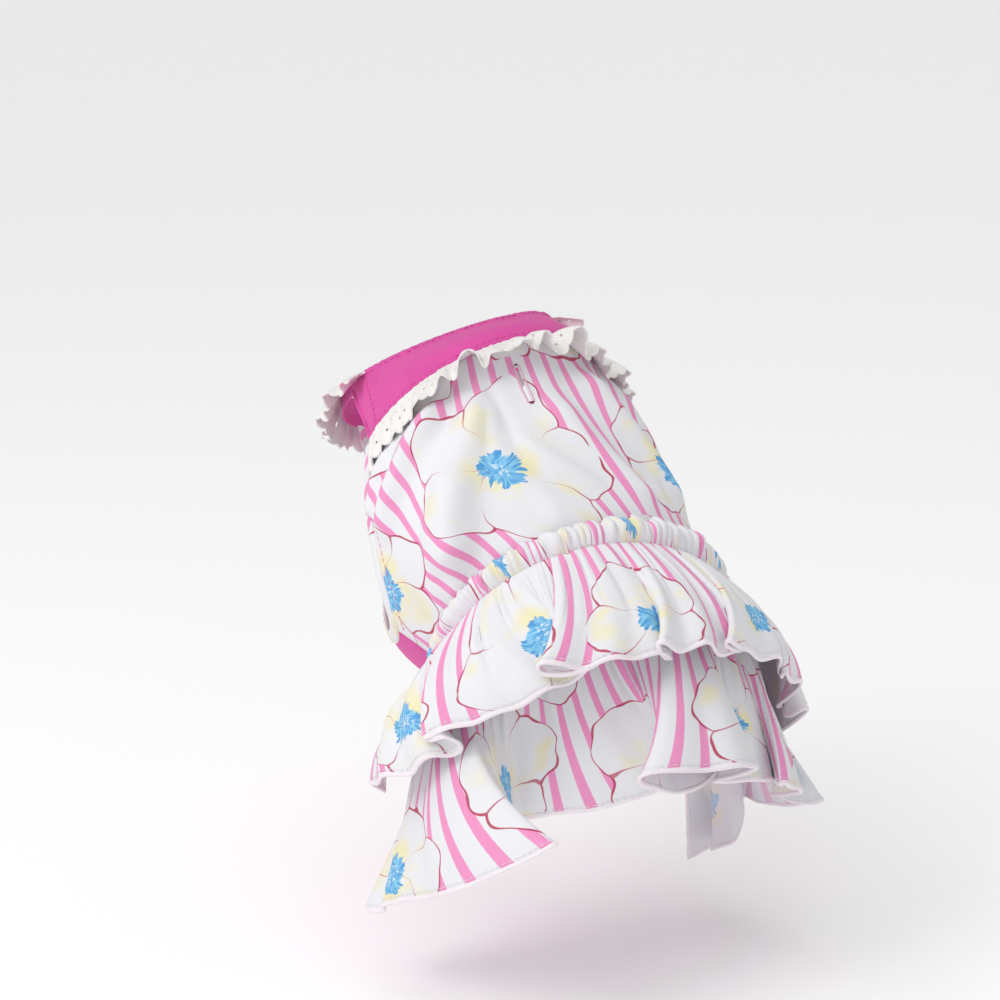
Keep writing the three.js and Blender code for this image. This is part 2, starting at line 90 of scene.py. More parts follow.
# Sections across the hollow: share down the bodice; right, forward and up as shares of its length; girth;
# width, back and belly as shares of the girth's radius; tilt, roll and turn in degrees
SECTIONS = np.array([
    (0.00, -0.060, 0.206, 0.405, NECK_GIRTH, 0.97, 0.92, 1.16, 27, 9, 6),
    (0.25, -0.070, 0.018, 0.255, CHEST_GIRTH, 0.79, 0.85, 0.96, 49, 3, 8),
    (0.47, -0.072, -0.127, 0.097, CHEST_GIRTH, 0.93, 0.87, 1.12, 52, 1, 8),
    (0.70, -0.055, -0.276, -0.075, CHEST_GIRTH, 1.00, 0.88, 1.19, 54, -2, 5),
    (0.92, -0.005, -0.425, -0.239, WAIST_GIRTH, 1.02, 0.93, 1.01, 57, -6, 0),
    (1.00, 0.000, -0.478, -0.299, WAIST_GIRTH, 1.02, 0.93, 1.00, 57, -8, 0),
    (1.08, 0.000, -0.528, -0.354, WAIST_GIRTH, 1.02, 0.93, 1.00, 57, -9, 0),
])

# Soft folds over the back: down and angle at both ends, width and height as shares of the chest girth
DRAPE_FOLDS = [
    (0.36, 30, 0.62, 78, 0.016, 0.0150),
    (0.38, 56, 0.54, 82, 0.012, 0.0110),
    (0.47, 18, 0.86, 66, 0.021, 0.0160),
    (0.66, 36, 0.96, 74, 0.016, 0.0110),
    (0.42, -30, 0.80, -52, 0.020, 0.0120),
    (0.52, -8, 0.88, -22, 0.020, 0.0110),
    (0.36, -58, 0.64, -78, 0.015, 0.0110),
]

# Folds of the hems, left end to right end: share of the cloth where it lies, share that it takes,
# degrees that the cloth turns, outwards if above 0
UPPER_TIER_FOLDS = [
    (0.153, 0.030, 163), (0.333, 0.064, 170), (0.473, 0.022, 155), (0.579, 0.030, 164),
    (0.701, 0.026, 160), (0.800, 0.028, 150), (0.913, 0.026, 140),
]
LOWER_TIER_FOLDS = [
    (0.051, 0.070, -63), (0.235, 0.099, -107), (0.454, 0.085, 155), (0.581, 0.024, -154),
    (0.682, 0.036, 152), (0.812, 0.030, 150), (0.912, 0.028, -129), (0.962, 0.034, 88),
]
# Round the hollow: angle, reach of the hem off the waist, cloth that hangs, as shares of the tier's length
UPPER_TIER_HANG = np.array([
    (-125, 0.32, 0.97), (-90, 0.38, 0.92), (-45, 0.60, 0.86), (0, 0.71, 0.91),
    (45, 0.63, 0.88), (90, 0.52, 0.85), (125, 0.47, 0.92),
])
LOWER_TIER_HANG = np.array([
    (-125, 0.24, 0.82), (-90, 0.24, 0.76), (-40, 0.37, 0.79), (-8, 0.44, 0.83),
    (18, 0.42, 0.89), (45, 0.32, 0.86), (90, 0.28, 0.88), (125, 0.30, 0.95),
])


# Numbers and the hollow that the dress goes round
NOISE_WAVES = 7


def smoothstep(value, low, high):
    """0 below low, 1 above high, 3t^2 - 2t^3 between."""
    t = np.clip((value - low) / (high - low), 0, 1)
    return t * t * (3 - 2 * t)


def mix(a, b, share):
    """a where share is 0, b where it is 1, in a straight line between."""
    return a + (b - a) * share


def unit(vectors):
    """Each vector divided by its length."""
    return vectors / np.maximum(np.linalg.norm(vectors, axis=-1, keepdims=True), 1e-9)


def lattice(across, down):
    """Two arrays that hold each place of a grid, first direction across, second down."""
    return np.meshgrid(across, down, indexing="ij")


def grid_normal(grid):
    """Way out of a grid of points: its steps across crossed with its steps down."""
    return unit(np.cross(np.gradient(grid, axis=0), np.gradient(grid, axis=1)))


def through(keys, values, place):
    """Cubic Hermite curve through values at keys, with slopes from the neighbours on both sides."""
    last = len(keys) - 1
    place = np.clip(place, keys[0], keys[-1])
    i = np.clip(np.searchsorted(keys, place, side="left") - 1, 0, last - 1)
    before = np.maximum(np.arange(last + 1) - 1, 0)
    after = np.minimum(np.arange(last + 1) + 1, last)
    flat = (-1,) + (1,) * (values.ndim - 1)
    slope = (values[after] - values[before]) / (keys[after] - keys[before]).reshape(flat)
    step = keys[i + 1] - keys[i]
    t = (place - keys[i]) / step
    if values.ndim > 1:
        step, t = step[..., None], t[..., None]
    return (
        (1 + 2 * t) * (1 - t) ** 2 * values[i] + t * (1 - t) ** 2 * step * slope[i]
        + t * t * (3 - 2 * t) * values[i + 1] + t * t * (t - 1) * step * slope[i + 1]
    )


def hollow(down, angle):
    """Point on the hollow: an oval round the section's middle, its back half and belly half of their own
    depth, tilted about X, rolled about Y and turned in its own plane."""
    down, angle = np.broadcast_arrays(np.asarray(down, float), np.asarray(angle, float))
    row = np.moveaxis(through(SECTIONS[:, 0], SECTIONS[:, 1:], down), -1, 0)
    right, forward, up, girth, width, back, belly, tilt, roll, turn = row
    radius = girth / (2 * np.pi)
    tilt, roll, turned = np.radians(tilt), np.radians(roll), np.radians(angle + turn)
    depth = radius * np.where(np.cos(turned) > 0, back, belly) * np.cos(turned)
    side = radius * width * np.sin(turned)
    return np.stack([
        right * BODICE_LENGTH - np.cos(roll) * side,
        forward * BODICE_LENGTH - np.cos(tilt) * depth,
        up * BODICE_LENGTH + np.sin(tilt) * depth - np.sin(roll) * side,
    ], -1)


def hollow_normal(down, angle):
    """Way out of the hollow: the step round crossed with the step down."""
    across = hollow(down, angle + 1) - hollow(down, angle - 1)
    along = hollow(down + 0.01, angle) - hollow(down - 0.01, angle)
    return unit(np.cross(across, along))


def over_hollow(down, angle, out):
    """Point that stands out from the hollow along its normal."""
    return hollow(down, angle) + hollow_normal(down, angle) * np.asarray(out)[..., None]


def soft_noise(seed, place, period):
    """Smooth random line between about -1 and 1: sines of random phase with periods round the given one."""
    draw = np.random.default_rng(seed)
    total = np.zeros_like(np.asarray(place, float))
    for _ in range(NOISE_WAVES):
        total = total + np.sin(2 * np.pi * place / (period * draw.uniform(0.6, 2.2)) + draw.uniform(0, 6.3))
    return total / np.sqrt(NOISE_WAVES / 2) / 1.6


def creases(seed, across, along, count, width, height, length, lean=0.5):
    """Fine creases on a cloth, in millimetres: each is a short ridge, a bell curve across its line and
    a fading one along it."""
    draw = np.random.default_rng(seed)
    total = np.zeros_like(across)
    for _ in range(count):
        x = draw.uniform(across.min(), across.max())
        y = draw.uniform(along.min(), along.max())
        turn = draw.normal(np.pi / 2, lean)
        wide = width * draw.uniform(0.6, 1.5)
        run = length * draw.uniform(0.5, 1.4)
        high = height * draw.uniform(-1, 1)
        off_x, off_y = across - x, along - y
        by = off_x * np.cos(turn) + off_y * np.sin(turn)
        beside = -off_x * np.sin(turn) + off_y * np.cos(turn)
        total = total + high * np.exp(-((beside / wide) ** 2) - (by / run) ** 2)
    return total


# Meshes
def make_piece(name, points, faces, corner_uv, wrong_side=None):
    """A mesh object at the origin, its points turned from millimetres to metres."""
    mesh = bpy.data.meshes.new(name)
    mesh.from_pydata((points * MM).tolist(), [], faces)
    mesh.polygons.foreach_set("use_smooth", np.ones(len(faces), bool))
    layer = mesh.uv_layers.new(name="cloth")
    layer.data.foreach_set("uv", (corner_uv * MM).astype(np.float32).ravel())
    if wrong_side is not None:
        shade = mesh.attributes.new("wrong_side", "FLOAT", "POINT")
        shade.data.foreach_set("value", wrong_side.astype(np.float32))
    mesh.update()
    piece = bpy.data.objects.new(name, mesh)
    bpy.context.scene.collection.objects.link(piece)
    return piece


def cloth(name, inner, uv, thickness=COTTON, closed=False, keep=None):
    """Cloth over a grid of points. The inner face lies on them and the other one stands off by
    the thickness along the grid's normal. Rims join the two faces along each edge and round each cell that
    is left out. A closed cloth's last column lies on its first."""
    columns, rows = inner.shape[0] - 1, inner.shape[1] - 1
    across = np.gradient(inner, axis=0)
    if closed:
        across[0] = across[-1] = (inner[1] - inner[-2]) / 2
    outer = inner + unit(np.cross(across, np.gradient(inner, axis=1))) * thickness
    count = (columns + 1) * (rows + 1)
    index = np.arange(count).reshape(columns + 1, rows + 1)
    place = index.copy()
    if closed:
        place[-1] = place[0]
    keep = np.ones((columns, rows), bool) if keep is None else keep
    corners = [(0, 0), (1, 0), (1, 1), (0, 1)]
    columns_at, rows_at = np.nonzero(keep)
    at = [(columns_at + i, rows_at + j) for i, j in corners]
    a, b, c, d = (place[p] for p in at)
    ua, ub, uc, ud = (index[p] for p in at)
    faces = [np.stack([a, b, c, d], 1) + count, np.stack([a, d, c, b], 1)]
    uvs = [np.stack([ua, ub, uc, ud], 1), np.stack([ua, ud, uc, ub], 1)]
    fenced = np.pad(keep, 1)
    if closed:
        fenced[0], fenced[-1] = fenced[-2].copy(), fenced[1].copy()
    beside = [
        (fenced[1:-1, :-2], 0, 1), (fenced[1:-1, 2:], 2, 3),
        (fenced[:-2, 1:-1], 3, 0), (fenced[2:, 1:-1], 1, 2),
    ]
    for neighbour, first, second in beside:
        i, j = np.nonzero(keep & ~neighbour)
        p = (i + corners[first][0], j + corners[first][1])
        q = (i + corners[second][0], j + corners[second][1])
        faces.append(np.stack([place[q] + count, place[p] + count, place[p], place[q]], 1))
        uvs.append(np.stack([index[q], index[p], index[p], index[q]], 1))
    faces, uvs = np.concatenate(faces), np.concatenate(uvs)
    used, packed = np.unique(faces, return_inverse=True)
    points = np.concatenate([inner.reshape(-1, 3), outer.reshape(-1, 3)])[used]
    wrong_side = (used < count).astype(float)
    corner_uv = uv.reshape(-1, 2)[uvs].reshape(-1, 2)
    return make_piece(name, points, packed.reshape(faces.shape).tolist(), corner_uv, wrong_side)


def on_cloth(grid, i, j, rise):
    """Points over a cloth's outer face and the way out there, at fractional places of its grid: what the
    four points round each place hold, mixed by the two fractions."""
    i, j = np.broadcast_arrays(np.asarray(i, float), np.asarray(j, float))
    outward = grid_normal(grid)
    left = np.clip(i.astype(int), 0, grid.shape[0] - 2)
    top = np.clip(j.astype(int), 0, grid.shape[1] - 2)
    by_i, by_j = (i - left)[..., None], (j - top)[..., None]

    def at(values):
        """What the four points hold, mixed at each place."""
        upper = mix(values[left, top], values[left + 1, top], by_i)
        lower = mix(values[left, top + 1], values[left + 1, top + 1], by_i)
        return mix(upper, lower, by_j)

    normal = unit(at(outward))
    return at(grid) + normal * rise, normal


def tubes(name, path, side, up, wide, high, sides):
    """Closed tubes along paths (tube, ring, xyz): each ring is an oval of half widths wide along side and
    high along up, and a flat face closes the first ring and the last."""
    count, rings = path.shape[:2]
    turn = np.arange(sides) * 2 * np.pi / sides
    points = (
        path[:, :, None]
        + (wide[..., None] * side)[:, :, None] * np.cos(turn)[:, None]
        + (high[..., None] * up)[:, :, None] * np.sin(turn)[:, None]
    )
    index = np.arange(count * rings * sides).reshape(count, rings, sides)
    beside = np.roll(index, -1, axis=2)
    quads = np.stack([index[:, :-1], beside[:, :-1], beside[:, 1:], index[:, 1:]], -1).reshape(-1, 4)
    caps = np.stack([index[:, 0, ::-1], index[:, -1]], 1).reshape(-1, sides)
    steps = np.linalg.norm(np.diff(path, axis=1), axis=-1)
    run = np.concatenate([np.zeros((count, 1)), np.cumsum(steps, axis=1)], 1)
    along = np.repeat(run[:, :, None], sides, 2)
    around = np.broadcast_to(np.arange(sides) * TUBE_SIDE, along.shape)
    uv = np.stack([along, around], -1).reshape(-1, 2)
    corners = np.concatenate([quads.ravel(), caps.ravel()])
    return make_piece(name, points.reshape(-1, 3), quads.tolist() + caps.tolist(), uv[corners])


def threads(name, starts, ends, normals, radius, rise=0.12):
    """Short threads laid on cloth: each bows up by a sine between its ends and its thickness follows the
    root of a half circle."""
    share = np.linspace(0, 1, THREAD_RINGS)
    path = starts[:, None] + (ends - starts)[:, None] * share[:, None]
    path = path + normals[:, None] * (rise * np.sin(np.pi * share))[:, None]
    side = unit(np.cross(normals, ends - starts))
    up = unit(np.cross(ends - starts, side))
    swell = radius * np.sqrt(np.clip(1 - (2 * share - 1) ** 2, 0.06, 1))
    wide = np.broadcast_to(swell, path.shape[:2])
    side = np.broadcast_to(side[:, None], path.shape)
    up = np.broadcast_to(up[:, None], path.shape)
    return tubes(name, path, side, up, wide, wide, THREAD_SIDES)


def stitch_ends(path, normals):
    """Starts, ends and normals of stitches of one length set out evenly along a line of points."""
    run = np.concatenate([[0], np.cumsum(np.linalg.norm(np.diff(path, axis=0), axis=1))])
    count = max(int(run[-1] / STITCH_PITCH), 1)
    first = (np.arange(count) + 0.5) * run[-1] / count - STITCH / 2

    def at(where, what):
        """What the line holds at these lengths along it, straight from point to point."""
        return np.stack([np.interp(where, run, what[:, axis]) for axis in range(3)], 1)

    return at(first, path), at(first + STITCH, path), unit(at(first + STITCH / 2, normals))


def stitch_rows(name, rows, **sizes):
    """One piece of thread from several lines of stitches."""
    ends = [stitch_ends(path, normals) for path, normals in rows]
    return threads(name, *(np.concatenate(part) for part in zip(*ends)), **sizes)


# Materials
BUMP_STRENGTH = 0.6
WEAVE_PITCH = 0.42


class Value:
    """A number in a shader: Python operators on it add Math nodes."""

    def __init__(self, finish, socket):
        self.finish = finish
        self.socket = socket

    def math(self, operation, *others):
        """One Math node with this value first."""
        return self.finish.node("ShaderNodeMath", {"operation": operation}, self, *others)

    def operation(kind):
        """A method that adds one kind of Math node."""
        return lambda self, *others: self.math(kind, *others)

    __add__ = __radd__ = operation("ADD")
    __mul__ = __rmul__ = operation("MULTIPLY")
    __sub__ = operation("SUBTRACT")
    __truediv__ = operation("DIVIDE")
    __pow__ = operation("POWER")
    __abs__ = operation("ABSOLUTE")
    sin = operation("SINE")
    cos = operation("COSINE")
    least = operation("MINIMUM")
    most = operation("MAXIMUM")

    def __rsub__(self, other):
        """A number less this value."""
        return self.finish.node("ShaderNodeMath", {"operation": "SUBTRACT"}, other, self)

    def wrap(self, half):
        """The value brought between -half and half by whole turns."""
        return self.math("WRAP", half, -half)

    def step(self, low, high):
        """0 at low, 1 at high, smooth between; low may be the larger."""
        settings = {"interpolation_type": "SMOOTHSTEP", "clamp": True}
        return self.finish.node("ShaderNodeMapRange", settings, self, low, high, 0.0, 1.0)


class Finish:
    """One material's nodes."""

    def __init__(self, name):
        self.material = bpy.data.materials.new(name)
        self.material.use_nodes = True
        self.tree = self.material.node_tree
        self.shader = self.tree.nodes["Principled BSDF"]

    def node(self, kind, settings=None, *inputs, output=0, **named):
        """A node: settings first, then values or links for its sockets by order or by name."""
        node = self.tree.nodes.new(kind)
        for key, value in (settings or {}).items():
            setattr(node, key, value)
        for socket, value in [*enumerate(inputs), *named.items()]:
            target = node.inputs[socket]
            if isinstance(value, Value):
                self.tree.links.new(value.socket, target)
            elif value is not None:
                target.default_value = value
        return Value(self, node.outputs[output])

    def place(self):
        """Across and down the cut cloth, in millimetres."""
        point = self.node("ShaderNodeUVMap", {"uv_map": "cloth"})
        parts = self.node("ShaderNodeSeparateXYZ", None, point)
        down = Value(self, parts.socket.node.outputs[1])
        return parts * TO_MM, down * TO_MM

    def spot(self, across, down):
        """A vector of the two."""
        return self.node("ShaderNodeCombineXYZ", None, across, down, 0.0)

    def noise(self, vector, scale, detail=2.0, roughness=0.5):
        """Noise from 0 to 1; scale is in lumps per unit of the vector."""
        return self.node(
            "ShaderNodeTexNoise", None, Vector=vector, Scale=scale, Detail=detail, Roughness=roughness)

    def blend(self, share, first, second):
        """Two colours mixed by a share."""
        node = self.tree.nodes.new("ShaderNodeMix")
        node.data_type = "RGBA"
        for socket, value in ((0, share), (6, first), (7, second)):
            if isinstance(value, Value):
                self.tree.links.new(value.socket, node.inputs[socket])
            else:
                node.inputs[socket].default_value = (*value, 1.0) if socket else value
        return Value(self, node.outputs[2])

    def weave(self, across, down, pitch):
        """Plain weave: warp and weft threads pass over each other in turn, as products of two sines."""
        turn = 2 * np.pi / pitch
        warp = (across * turn).sin()
        weft = (down * turn).sin()
        half = turn / 2
        over = (across * half).sin() * (down * half).sin()
        return (abs(warp) + abs(weft)) * 0.35 + over * 0.3

    def plain(self, **sockets):
        """Sets sockets of the shader that are the same all over."""
        for key, value in sockets.items():
            self.shader.inputs[key.replace("_", " ")].default_value = value
        return self.material

    def close(self, colour, height, distance, **sockets):
        """Joins colour and bump to the shader and sets its plain sockets; distance is the bump's depth."""
        bump = self.node("ShaderNodeBump", None, Height=height, Distance=distance, Strength=BUMP_STRENGTH)
        self.tree.links.new(bump.socket, self.shader.inputs["Normal"])
        self.tree.links.new(colour.socket, self.shader.inputs["Base Color"])
        return self.plain(**sockets)


def srgb(red, green, blue):
    """A screen colour as the linear one that a shader takes."""
    screen = np.array([red, green, blue]) / 255
    linear = np.where(screen <= 0.04045, screen / 12.92, ((screen + 0.055) / 1.055) ** 2.4)
    return tuple(float(part) for part in linear)


WHITE = srgb(236, 236, 240)
PINK = srgb(245, 160, 205)
CRIMSON = srgb(186, 36, 82)
YELLOW = srgb(243, 233, 176)
MAGENTA = srgb(226, 84, 168)

STRIPE_PITCH = 8.1
STRIPE_WIDTH = 2.8
STRIPE_BLUR = 0.16
PRINT_WIDTH = 150
PRINT_HEIGHT = 134
# Flowers of the print: across, down, size of a petal, turn
FLOWERS = [(26, 28, 15.3, 0.3), (98, 40, 13.8, 1.1), (62, 98, 16.6, 2.2), (136, 102, 12.7, 0.8)]
PETAL_HALF = float(np.pi / 5)
# How the drawing wanders: lumps per millimetre, and millimetres that they push it
WIDE_LUMPS, WIDE_PUSH = 0.034, 17.0
SMALL_LUMPS, SMALL_PUSH, HEART_PUSH = 0.11, 5.0, 7.0
# A second noise reads the same field this far off
ELSEWHERE, ASIDE, BESIDE = 311.0, 97.0, 57.0
# Hearts: brush strokes as lumps round a ring and out from it, and their reach in millimetres
SPOKES_ROUND, SPOKES_OUT, SPOKES_REACH = 3.2, 0.16, 7.5


def printed_cotton(name, turned=0.0):
    """White cotton with pink stripes, and large white flowers over them. A petal is a lens, the overlap of
    two circles, repeated round the flower's middle; the flower's edge is the least distance to a petal's.
    turned is the angle in radians at which the cloth is cut."""
    finish = Finish(name)
    across, down = finish.place()
    if turned:
        turn_cos, turn_sin = float(np.cos(turned)), float(np.sin(turned))
        across, down = across * turn_cos + down * turn_sin, down * turn_cos - across * turn_sin
    spot = finish.spot(across, down)
    wander = finish.noise(spot, WIDE_LUMPS, 0.0)
    sway = finish.noise(finish.spot(down + ELSEWHERE, across), WIDE_LUMPS, 0.0)
    lump = finish.noise(spot, SMALL_LUMPS, 0.0)
    bump = finish.noise(finish.spot(down + ASIDE, across), SMALL_LUMPS, 0.0)
    x_all = across + (wander - 0.5) * WIDE_PUSH + (lump - 0.5) * SMALL_PUSH
    y_all = down + (sway - 0.5) * WIDE_PUSH + (bump - 0.5) * SMALL_PUSH
    edge = heart = ring = strokes = streaks = None
    for x, y, petal, turn in FLOWERS:
        off_x = (x_all - float(x)).wrap(PRINT_WIDTH / 2)
        off_y = (y_all - float(y)).wrap(PRINT_HEIGHT / 2)
        reach = (off_x * off_x + off_y * off_y) ** 0.5
        angle = off_y.math("ARCTAN2", off_x)
        part = (angle + turn).wrap(PETAL_HALF)
        along = reach * part.cos() - petal * 1.05
        aside = abs(reach * part.sin()) + petal * 0.16
        own = (along * along + aside * aside) ** 0.5 - petal * 1.22
        notch = (PETAL_HALF - abs(part)).sin() * reach
        stroke = ((own * 0.14 + 1.0) * 0.5 - notch).step(-0.12, 0.12) * own.step(0.3, -0.3)
        near_x = (across + (lump - 0.5) * HEART_PUSH - float(x)).wrap(PRINT_WIDTH / 2)
        near_y = (down + (bump - 0.5) * HEART_PUSH - float(y)).wrap(PRINT_HEIGHT / 2)
        near = (near_x * near_x + near_y * near_y) ** 0.5
        ring_x = near_x / (near + 0.1) * SPOKES_ROUND
        ring_y = near_y / (near + 0.1) * SPOKES_ROUND
        around = finish.node("ShaderNodeCombineXYZ", None, ring_x, ring_y, near * SPOKES_OUT)
        spokes = finish.noise(around, 1.9, 2.0)
        fringe = near + (spokes - 0.5) * SPOKES_REACH
        edge = own if edge is None else edge.least(own)
        strokes = stroke if strokes is None else strokes.most(stroke)
        nearer = None if heart is None else (heart - near).step(-0.01, 0.01)
        streaks = spokes if heart is None else streaks * (1.0 - nearer) + spokes * nearer
        heart = near if heart is None else heart.least(near)
        ring = fringe if ring is None else ring.least(fringe)
    flower = edge.step(0.25, -0.25)
    # Stripes
    off = abs(across.wrap(STRIPE_PITCH / 2))
    ragged = (finish.noise(spot, 2.2, 2.0) - 0.5) * 0.35
    stripe = (off + ragged).step(STRIPE_WIDTH / 2 + STRIPE_BLUR, STRIPE_WIDTH / 2 - STRIPE_BLUR)
    streak = finish.noise(finish.spot(across, down * 0.12), 1.4, 2.0)
    pink = finish.blend(streak, PINK, srgb(238, 148, 196))
    colour = finish.blend(stripe * (1.0 - flower), WHITE, pink)
    # Yellow touches inside the petals and round the hearts
    patch = finish.noise(spot, 0.055, 2.0).step(0.50, 0.68)
    touch = edge.step(-13.0, -6.0) * edge.step(-0.5, -3.5) * patch
    halo = heart.step(17.0, 9.0) * finish.noise(spot, 0.075, 2.0).step(0.42, 0.62)
    colour = finish.blend((touch * 0.55).most(halo * 0.8), colour, YELLOW)
    # Crimson outlines that swell and thin, and here and there break off
    swell = finish.noise(finish.spot(down, across + BESIDE), 0.10, 1.0)
    half = swell.step(0.36, 0.66) * 0.28 + 0.19
    gap = finish.noise(spot, 0.06, 1.0).step(0.33, 0.38)
    ink = ((half - abs(edge)).step(-0.13, 0.13) * gap).most(strokes * 0.85)
    colour = finish.blend(ink * 0.9, colour, CRIMSON)
    # Blue hearts: brush strokes out from a dotted middle
    cells = finish.node("ShaderNodeTexVoronoi", None, Vector=spot, Scale=0.8)
    seed = cells.step(0.50, 0.25) * heart.step(4.6, 3.0)
    disc = ring.step(7.9, 7.2)
    blue = finish.blend(streaks.step(0.35, 0.62), srgb(62, 156, 220), srgb(136, 206, 242))
    blue = finish.blend(seed * 0.8, blue, srgb(235, 244, 250))
    colour = finish.blend(disc * 0.94, colour, blue)
    # The print shows through pale on the wrong side
    wrong = finish.node("ShaderNodeAttribute", {"attribute_name": "wrong_side"}, output=2)
    colour = finish.blend(wrong * 0.5, colour, srgb(232, 226, 234))
    weave = finish.weave(across, down, WEAVE_PITCH)
    slub = finish.noise(finish.spot(across, down * 0.15), 1.2, 3.0)
    return finish.close(
        colour, weave * 0.5 + slub, 0.00009, Roughness=0.86, Sheen_Weight=0.08, Specular_IOR_Level=0.2)


def plain_cotton(name, colour, darker, depth=0.5):
    """One dyed colour, clouded a little, and darker between the threads by the depth: that darkening is
    painted shade in the gaps of the weave.
    """
    finish = Finish(name)
    across, down = finish.place()
    spot = finish.spot(across, down)
    cloud = finish.noise(spot, 0.05, 4.0, 0.6)
    weave = finish.weave(across, down, WEAVE_PITCH)
    slub = finish.noise(finish.spot(across, down * 0.2), 1.1, 3.0)
    # The dye's cloud and the yarn's slubs, plus painted shade where the weave sinks between the threads
    shade = (cloud - 0.3) * 0.7 + (1.0 - weave) * 0.22 * depth + (slub - 0.5) * 0.35
    mixed = finish.blend(shade.step(0.0, 1.0), colour, darker)
    return finish.close(
        mixed, weave * 0.5 + slub, 0.00009, Roughness=0.84, Sheen_Weight=0.15, Specular_IOR_Level=0.25)


def lace_cotton(name):
    """Off-white cotton with small stitches of thread raised over it."""
    finish = Finish(name)
    across, down = finish.place()
    spot = finish.spot(across, down)
    cloud = finish.noise(spot, 0.12, 3.0)
    colour = finish.blend(cloud, srgb(250, 248, 246), srgb(236, 232, 230))
    satin = finish.noise(finish.spot(across * 3.0, down), 1.2, 3.0)
    weave = finish.weave(across, down, 0.5)
    return finish.close(
        colour, satin + weave * 0.5, 0.00016, Roughness=0.88, Sheen_Weight=0.1, Specular_IOR_Level=0.25)


def sewing_thread(name, colour, darker):
    """Twisted thread: slanting ridges along it."""
    finish = Finish(name)
    across, down = finish.place()
    twist = ((across * 9.0) + (down * 3.0)).sin() * 0.5 + 0.5
    mixed = finish.blend(twist, colour, darker)
    return finish.close(mixed, twist, 0.00005, Roughness=0.6, Sheen_Weight=0.1, Specular_IOR_Level=0.35)


PRINT = printed_cotton("cotton with flowers over stripes")
BIAS_PRINT = printed_cotton("the same cotton cut on the bias", turned=float(np.pi / 4))
# Each darker colour below serves both the dye's cloud and the painted shade between the threads
PLAIN = plain_cotton("magenta cotton", MAGENTA, srgb(190, 52, 138))
ROLLED = plain_cotton("rolled hem", srgb(246, 240, 244), srgb(240, 205, 224), 0.2)
LACE = lace_cotton("eyelet lace")
PALE_PINK_THREAD = sewing_thread("pale pink thread", srgb(250, 214, 232), srgb(232, 150, 190))
MAGENTA_THREAD = sewing_thread("magenta thread", srgb(216, 76, 158), srgb(196, 60, 140))
PINK_THREAD = sewing_thread("pink thread", srgb(246, 168, 206), srgb(222, 118, 166))
WHITE_THREAD = sewing_thread("white thread", srgb(250, 244, 247), srgb(230, 210, 222))
CRIMSON_THREAD = sewing_thread("crimson thread", srgb(150, 20, 60), srgb(100, 10, 40))


def dress_piece(piece, material, node=None):
    """The piece gets its material, rides on the dress and stands for its solid."""
    piece.data.materials.append(material)
    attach(piece, "root")
    if node:
        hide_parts(node)


# Edges of the bodice's pieces
PUCKER_HEIGHT = 0.24
PUCKER_PERIOD = 3.6
PUCKER_REACH = 2.6


def yoke_edge(angle):
    """Yoke seam's share down the bodice: deep over the back, narrow round the front."""
    side = smoothstep(np.abs(angle), YOKE_END, YOKE_END + YOKE_CORNER)
    return mix(YOKE_DEPTH, FRONT_BAND_DEPTH, side) / BODICE_LENGTH


def armhole_half(down, beside=0.0):
    """Half the armhole's opening in degrees: root of one less the share down to its power; beside makes
    the same curve larger by so many millimetres each way."""
    half = ARMHOLE_HALF + beside / ROUND_DEGREE
    return half * np.sqrt(np.maximum(0, 1 - (down * BODICE_LENGTH / (ARMHOLE_DROP + beside)) ** 2.5))


def drape(down, angle):
    """Soft folds over the back: each is a bell curve across its line, faded at both ends."""
    height = np.zeros_like(down)
    for down_from, angle_from, down_to, angle_to, width, high in DRAPE_FOLDS:
        run_down = (down_to - down_from) * BODICE_LENGTH
        run_round = (angle_to - angle_from) * ROUND_DEGREE
        run = np.hypot(run_down, run_round)
        past_down = (down - down_from) * BODICE_LENGTH
        past_round = (angle - angle_from) * ROUND_DEGREE
        along = (past_down * run_down + past_round * run_round) / run
        across = (past_down * run_round - past_round * run_down) / run
        wide = width * CHEST_GIRTH
        fade = smoothstep(along, -wide, wide) * (1 - smoothstep(along, run - wide, run + wide))
        height = height + high * CHEST_GIRTH * fade * np.exp(-((across / wide) ** 2))
    return height


def pucker(seed, along, away):
    """Small ripples drawn up by a line of stitches, fading with the distance from it."""
    return PUCKER_HEIGHT * soft_noise(seed, along, PUCKER_PERIOD) * np.exp(-((away / PUCKER_REACH) ** 2))


# Bodice
YOKE_SIDE_STITCHES = 71
BACK_SPREAD = 1.15
BINDING_HALF = 2.9
BINDING_RISE = 0.95
BINDING_INSET = 2.2


